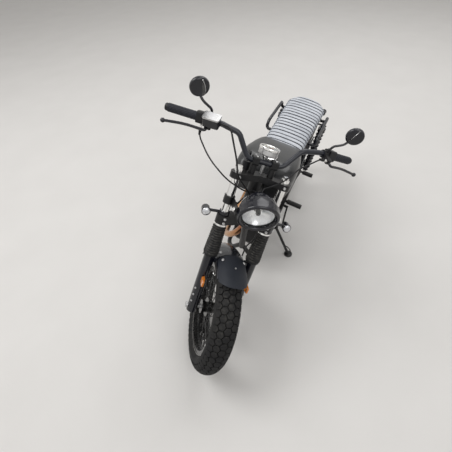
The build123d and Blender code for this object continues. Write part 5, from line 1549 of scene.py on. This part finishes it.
    def rims(self) -> None:
        """Adds a bright edge to each rim and the spokes' nipples."""
        wheels = (
            ("front", self.frames.front_wheel, Body.FRONT_WHEEL),
            ("rear", self.frames.rear_wheel, Body.REAR_WHEEL),
        )
        for name, place, body in wheels:
            edge, nipples = Shape(), Shape()
            across = place @ Matrix.Rotation(-math.pi / 2, 4, "X")
            for side in (-1, 1):
                wire = []
                for step in range(9):
                    angle = 2.0 * math.pi * step / 8
                    rise, drift = EDGE_WIRE * math.cos(angle), EDGE_WIRE * math.sin(angle)
                    wire.append((EDGE_RADIUS + rise, side * EDGE_SIDE + drift))
                edge.lathe(across, Turned(wire, 96, False))
            self._build(edge, f"{name}_rim_edges", body, "chrome")
            for side in (-1, 1):
                for index in range(9):
                    base = 40.0 * (index + 0.25 * side)
                    for lean in (-1, 1):
                        tip = math.radians(base - lean * 8)
                        out = Vector((math.sin(tip), 0, math.cos(tip)))
                        foot = out * NIPPLE_RADIUS + Vector((0, side * NIPPLE_SIDE, 0))
                        nipples.lathe(facing(place, foot, out), SPOKE_NIPPLE)
            self._build(nipples, f"{name}_nipples", body, "chrome")

    def chain(self) -> None:
        """Makes the chain's links in place of its solid."""
        shape = Shape()
        place = self.frames.chassis
        line = ChainLine()
        count = 2 * round(line.total / line.PITCH / 2)
        pitch = line.total / count
        across = Vector((0, 1, 0))
        aside = place.to_3x3() @ across
        for index in range(count):
            a, b = line.spot(index * pitch), line.spot((index + 1) * pitch)
            along = (b - a).normalized()
            height = across.cross(along)
            offset = 0.0058 if index % 2 == 0 else 0.0040
            for side in (-1, 1):
                outline = []
                for cos, sin in circle(16):
                    end = b if cos > 0 else a
                    waist = 0.0068 if abs(cos) > 0.3 else 0.0052
                    flat = along * (0.0066 * cos) + height * (waist * sin)
                    outline.append(place @ (end + flat + across * (side * offset)))
                shape.prism(outline, aside * (side * 0.0015), 0.04, 0.7)
            pin = aimed(place @ (a - across * 0.0072), aside)
            shape.lathe(pin, CHAIN_PIN)
            shape.lathe(pin, CHAIN_ROLLER)
        made = self._build(shape, "chain_links", Body.CHASSIS, "chain_steel", smooth=30.0)
        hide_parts("drive_chain")

    def sprocket(self) -> None:
        """Adds the teeth of the rear chain wheel."""
        shape = Shape()
        rows: List[List[Vector]] = []
        for y in SPROCKET_FACES:
            rows.append([])
            for index in range(TEETH * 6):
                angle = 2.0 * math.pi * index / (TEETH * 6)
                radius = TOOTH_ROOT + TOOTH_HEIGHT * max(0.0, math.cos(TEETH * angle)) ** 0.8
                point = Vector((radius * math.cos(angle), y, radius * math.sin(angle)))
                rows[-1].append(self.frames.rear_wheel @ point)
        shape.grid(rows, True, True)
        self._build(shape, "sprocket_teeth", Body.REAR_WHEEL, "disc_steel", smooth=30.0)

    def mirrors(self) -> None:
        """Adds the mirrors' glass on the faces that look at the rider."""
        glass = Shape()
        radius = SIZES.mirror_radius - 0.0035
        pane = Turned(((radius, 0.0), (radius, 0.0008), (radius - 0.0025, 0.0012)), 64)
        from_end = SIZES.grip_length + SIZES.housing_length + 0.5 * SIZES.perch_length - 0.052 + 0.0006
        turn = math.radians(SIZES.mirror_turn)
        for side in (-1, 1):
            bar = BarFrame(self.frames, side, SIZES.perch_tilt)
            back = -bar.forward * math.cos(turn) - bar.along * math.sin(turn)
            middle = bar.spot(from_end, -0.002, SIZES.mirror_rise + 0.75 * SIZES.mirror_radius)
            centre = middle + back * 0.0042
            glass.lathe(aimed(centre, back), pane)
        self._build(glass, "mirror_glass", Body.STEERING, "chrome")

    def engine(self) -> None:
        """Adds the engine's cover bolts, its inspection caps and a spark plug's boot with its lead."""
        place = self.frames.chassis
        bolts, caps, lead = Shape(), Shape(), Shape()
        for side in (-1, 1):
            centre = Vector((COVER_PLACE[0], side * COVER_PLACE[1], COVER_PLACE[2]))
            for index in range(COVER_BOLTS):
                angle = 2.0 * math.pi * (index + 0.5) / COVER_BOLTS
                ring = Vector((COVER_BOLT_RADIUS * math.cos(angle), 0, COVER_BOLT_RADIUS * math.sin(angle)))
                spot = centre + ring
                bolts.bolt(facing(place, spot, (0, side, 0)), 0.0052, 0.005)
            caps.lathe(facing(place, centre, (0, side, 0)), COVER_CAP)
            forward = (SIDE_CAP_PLACE[0], side * SIDE_CAP_PLACE[1], SIDE_CAP_PLACE[2])
            caps.lathe(facing(place, forward, (0, side, 0)), SIDE_CAP)
        self._build(bolts, "engine_bolts", Body.CHASSIS, "alloy")
        self._build(caps, "engine_caps", Body.CHASSIS, "cast_alloy")
        start = Vector(PLUG_PLACE)
        route = [start]
        route += [start + Vector(step) for step in ((0.010, 0.055, 0.010), (-0.01, 0.06, 0.07))]
        route += [Vector(point) for point in ((0.70, 0.035, 0.735), (0.665, 0.022, 0.752))]
        lead.tube([place @ p for p in smooth_path(route, 8)], 0.0035, 10)
        lead.lathe(facing(place, start, (0.15, 1, 0.15)), PLUG_BOOT)
        self._build(lead, "plug_lead", Body.CHASSIS, "hose_rubber")

    def tank(self) -> None:
        """Adds the cap's knurled rim and lock cover."""
        place = self.frames.chassis @ Matrix.Translation(CAP_PLACE)
        cap = Shape()
        rows: List[List[Vector]] = []
        for height in (-0.008, -0.002):
            rows.append([])
            for index, (cos, sin) in enumerate(circle(KNURL_POINTS)):
                radius = KNURL_RADIUS + KNURL_DEPTH * (index % 2)
                rows[-1].append(place @ Vector((radius * cos, radius * sin, height)))
        cap.grid(rows)
        cap.lathe(place, LOCK_COVER)
        self._build(cap, "cap_rim", Body.CHASSIS, "chrome")

    def cables(self) -> None:
        """Adds the boots and adjusters of the clutch and throttle cables."""
        fittings, boots = Shape(), Shape()
        right, left = BarFrame(self.frames, -1), BarFrame(self.frames, 1, SIZES.perch_tilt)
        inner = SIZES.grip_length + SIZES.housing_length + SIZES.perch_length + 0.0006
        start = left.spot(inner + 0.0003, 0.0391, 0.0)
        below = right.spot(SIZES.grip_length + SIZES.housing_length / 2, 0.0, -0.0223)
        for origin, way, adjuster, length, boot in (
            (start, left.along, CLUTCH_ADJUSTER, 0.016, CLUTCH_BOOT),
            (below, right.up, THROTTLE_ADJUSTER, 0.020, THROTTLE_BOOT),
        ):
            fittings.lathe(aimed(origin, -way), adjuster)
            boots.lathe(aimed(origin - way * length, -way), boot)
        self._build(fittings, "cable_fittings", Body.STEERING, "chrome")
        self._build(boots, "cable_boots", Body.STEERING, "hose_rubber")

    def signals(self) -> None:
        """Adds the rings and lenses of the four turn signals and of the tail lamp."""
        front, rear = Shape(), Shape()
        aside = SIZES.fork_side + SIZES.tube_radius + 0.051 + 0.0144
        reach = SIZES.fork_offset + 0.006 + SIGNAL_DEPTH
        tail = REAR_SIGNAL_REACH - SIGNAL_DEPTH
        for side in (-1, 1):
            ahead = facing(self.frames.steering, (reach, side * aside, FRONT_SIGNAL_HEIGHT), (1, 0, 0))
            back = (tail, side * REAR_SIGNAL_SIDE, REAR_LAMP_HEIGHT)
            behind = facing(self.frames.chassis, back, (-1, 0, 0))
            for shape, place in ((front, ahead), (rear, behind)):
                shape.slot = 0
                shape.lathe(place, SIGNAL_RING)
                shape.slot = 1
                shape.lathe(place, SIGNAL_LENS)
        self._build(front, "front_signal_lenses", Body.STEERING, "gloss_black", "silver_lens")
        lamp = facing(self.frames.chassis, (TAIL_LAMP_REACH, 0.0, REAR_LAMP_HEIGHT), (-1, 0, 0))
        rear.slot = 0
        rear.lathe(lamp, TAIL_RING)
        rear.slot = 2
        for radius in RIB_RADII:
            rib = [(radius + step, height) for step, height in LENS_RIB]
            rear.lathe(lamp, Turned(rib, 48, False))
        self._build(rear, "rear_lamp_details", Body.CHASSIS, "gloss_black", "amber", "red_lens")


# ---- materials of the solids


FINISHED_NODES: Dict[str, Tuple[str, ...]] = {
    "frame_black": ("fork_clamps", "lamp_ears", "main_frame", "swingarm", "side_stand"),
    "chrome": ("fork_tubes", "fork_collars", "tank_cap"),
    "gaiter": ("fork_gaiters",),
    "gloss_black": (
        "fork_legs", "headlamp_shell", "hand_levers", "master_cylinder", "mirrors", "front_signals",
        "rear_signals", "grab_loops", "rear_shocks",
    ),
    "alloy": ("front_axle", "master_lid", "speedometer", "rear_axle"),
    "fender_blue": ("front_fender", "rear_fender"),
    "plate_blue": ("fender_plate", "side_panels"),
    "cast_black": ("front_caliper", "engine_block", "engine_cylinder", "rear_caliper", "foot_controls"),
    "bar_black": ("handlebar",),
    "plastic_black": ("bar_controls", "ignition_lock", "intake"),
    "amber": ("fork_reflectors",),
    "hose_rubber": ("brake_hose", "control_cables"),
    "cast_alloy": ("engine_head",),
    "silencer_black": ("silencer",),
    "tank_grey": ("fuel_tank",),
    "red_lens": ("tail_lamp",),
    "rim_black": ("front_rim", "rear_rim"),
    "disc_steel": ("front_disc", "rear_sprocket", "rear_disc"),
}
NODE_FINISHES = {node: look for look, nodes in FINISHED_NODES.items() for node in nodes}


def dress_solids(nodes: Dict[str, bpy.types.Object], frames: Frames, materials: Materials) -> None:
    """Gives every solid its material.

    Args:
        nodes: the solids by name.
        frames: the machine's frames.
        materials: the scene's materials.
    """
    port = frames.chassis @ Vector((0.80, 0.0, 0.59))
    down = frames.chassis.to_3x3() @ Vector((0.25, 0.0, -0.97)).normalized()

    def pipe(name: str) -> bpy.types.Material:
        return heated_pipe(name, tuple(down), tuple(port), 0.42)

    special: Dict[str, Maker] = {
        "headlamp_reflector": bright_bowl,
        "headlamp_glass": lens_glass,
        "exhaust_header": pipe,
    }
    for name, item in nodes.items():
        if name in special:
            material = materials.get(f"{name}_look", special[name])
        elif name in NODE_FINISHES:
            material = materials.get(NODE_FINISHES[name])
        else:
            continue
        if not item.material_slots:
            item.data.materials.append(material)
        item.material_slots[0].link = "OBJECT"
        item.material_slots[0].material = material


# ---- set, light and camera


@dataclass(frozen=True)
class CameraView:
    """Where the camera stands.

    Attributes:
        place: its position.
        target: the point in the middle of its view.
        roll: its roll to the right in degrees.
        width: its sensor width over its focal length.
    """

    place: Point
    target: Point
    roll: float
    width: float


SENSOR = 36.0
VIEW = CameraView(place=(1.370, 0.359, 1.741), target=(0.644, -0.017, 0.863), roll=-3.2, width=1.44)


def flat_floor(name: str) -> bpy.types.Material:
    """The pale, faintly uneven studio floor.

    Args:
        name: the material's name.

    Returns:
        The material.
    """
    graph = Graph(name)
    wear = graph.noise(0.35, 4.0)
    color = wear.between((0.66, 0.645, 0.625), (0.72, 0.705, 0.685))
    return graph.finish(
        Base_Color=color,
        Roughness=0.75,
        Normal=graph.bump(graph.noise(0.01, 4.0), 0.0004),
    )


def soft_world(light: float, seen: float) -> bpy.types.World:
    """The even surroundings: dim as a light, and brighter where metal, glass or the lens shows them.

    Args:
        light: the strength with which they light the machine.
        seen: the strength at which they are seen.

    Returns:
        The world.
    """
    world = bpy.data.worlds.new("studio")
    world.use_nodes = True
    nodes, links = world.node_tree.nodes, world.node_tree.links
    rays = nodes.new("ShaderNodeLightPath")
    seen_at_all = rays.outputs["Is Camera Ray"]
    for kind in ("Is Glossy Ray", "Is Transmission Ray"):
        either = nodes.new("ShaderNodeMath")
        either.operation = "MAXIMUM"
        links.new(seen_at_all, either.inputs[0])
        links.new(rays.outputs[kind], either.inputs[1])
        seen_at_all = either.outputs[0]
    strength = nodes.new("ShaderNodeMath")
    strength.operation = "MULTIPLY_ADD"
    links.new(seen_at_all, strength.inputs[0])
    strength.inputs[1].default_value = seen - light
    strength.inputs[2].default_value = light
    nodes["Background"].inputs[0].default_value = (1.0, 0.985, 0.965, 1.0)
    links.new(strength.outputs[0], nodes["Background"].inputs[1])
    return world


FLOOR_REACH = 14.0


def make_set(materials: Materials) -> None:
    """Builds the floor, the even surrounding light and the soft lamps.

    Args:
        materials: the scene's materials.
    """
    mesh = bpy.data.meshes.new("floor")
    corners = [(x * FLOOR_REACH, y * FLOOR_REACH, 0) for x, y in ((-1, -1), (1, -1), (1, 1), (-1, 1))]
    mesh.from_pydata(corners, [], [(0, 1, 2, 3)])
    mesh.materials.append(materials.get("floor", flat_floor))
    floor = bpy.data.objects.new("floor", mesh)
    bpy.context.scene.collection.objects.link(floor)
    bpy.context.scene.world = soft_world(0.40, 0.80)
    for name, place, aim, size, power in (
        ("key", (1.4, -3.4, 5.6), (0.2, 0.0, 0.4), 3.0, 165.0),
        ("fill", (3.2, 3.6, 5.0), (0.2, 0.0, 0.4), 4.0, 90.0),
        ("top", (-3.4, 0.6, 5.6), (-0.4, 0.0, 0.4), 4.0, 140.0),
    ):
        light = bpy.data.lights.new(name, "AREA")
        light.energy = power
        light.size = size
        lamp = bpy.data.objects.new(name, light)
        away = Vector(place) - Vector(aim)
        lamp.location = place
        lamp.rotation_euler = away.to_track_quat("Z", "Y").to_euler()
        bpy.context.scene.collection.objects.link(lamp)


def make_camera(view: CameraView) -> None:
    """Sets up the camera.

    Args:
        view: where it stands and how it is turned.
    """
    data = bpy.data.cameras.new("camera")
    data.sensor_width = SENSOR
    data.lens = SENSOR / view.width
    data.clip_start = 0.05
    camera = bpy.data.objects.new("camera", data)
    away = Vector(view.place) - Vector(view.target)
    turn = away.to_track_quat("Z", "Y").to_matrix() @ Matrix.Rotation(math.radians(view.roll), 3, "Z")
    camera.matrix_world = Matrix.Translation(view.place) @ turn.to_4x4()
    bpy.context.scene.collection.objects.link(camera)
    bpy.context.scene.camera = camera
    bpy.context.scene.view_settings.view_transform = "Standard"


def main() -> None:
    """Dresses the machine, lights it, sets the camera and logs how many solids it dressed."""
    logging.basicConfig(level=logging.INFO, format="%(name)s: %(message)s")
    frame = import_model()
    frames = find_frames(frame["joints"])
    materials = Materials()
    dress_solids(frame["nodes"], frames, materials)
    rubber = materials.get("tyre_rubber")
    front = TyreBuilder(frames.front_wheel, SIZES.front_radius, SIZES.front_section)
    rear = TyreBuilder(frames.rear_wheel, SIZES.rear_radius, SIZES.rear_section)
    front.make("front_tyre_blocks", Body.FRONT_WHEEL, "front_tyre", rubber)
    rear.make("rear_tyre_blocks", Body.REAR_WHEEL, "rear_tyre", rubber)
    leathers = [materials.get(look) for look in ("seat_leather", "seat_border", "seat_seam")]
    SeatBuilder(frames.chassis).make("ribbed_seat", *leathers)
    make_grips(frames, materials.get("grip_rubber"), materials.get("plastic_black"))
    details = Details(frames, materials)
    for piece in (
        details.headlamp, details.gauge, details.fender, details.fork, details.rims, details.chain,
        details.sprocket, details.mirrors, details.engine, details.tank, details.cables, details.signals,
    ):
        piece()
    make_set(materials)
    make_camera(VIEW)
    bpy.context.view_layer.update()
    log.info("dressed %d solids", len(frame["nodes"]))


if __name__ == "__main__":
    main()
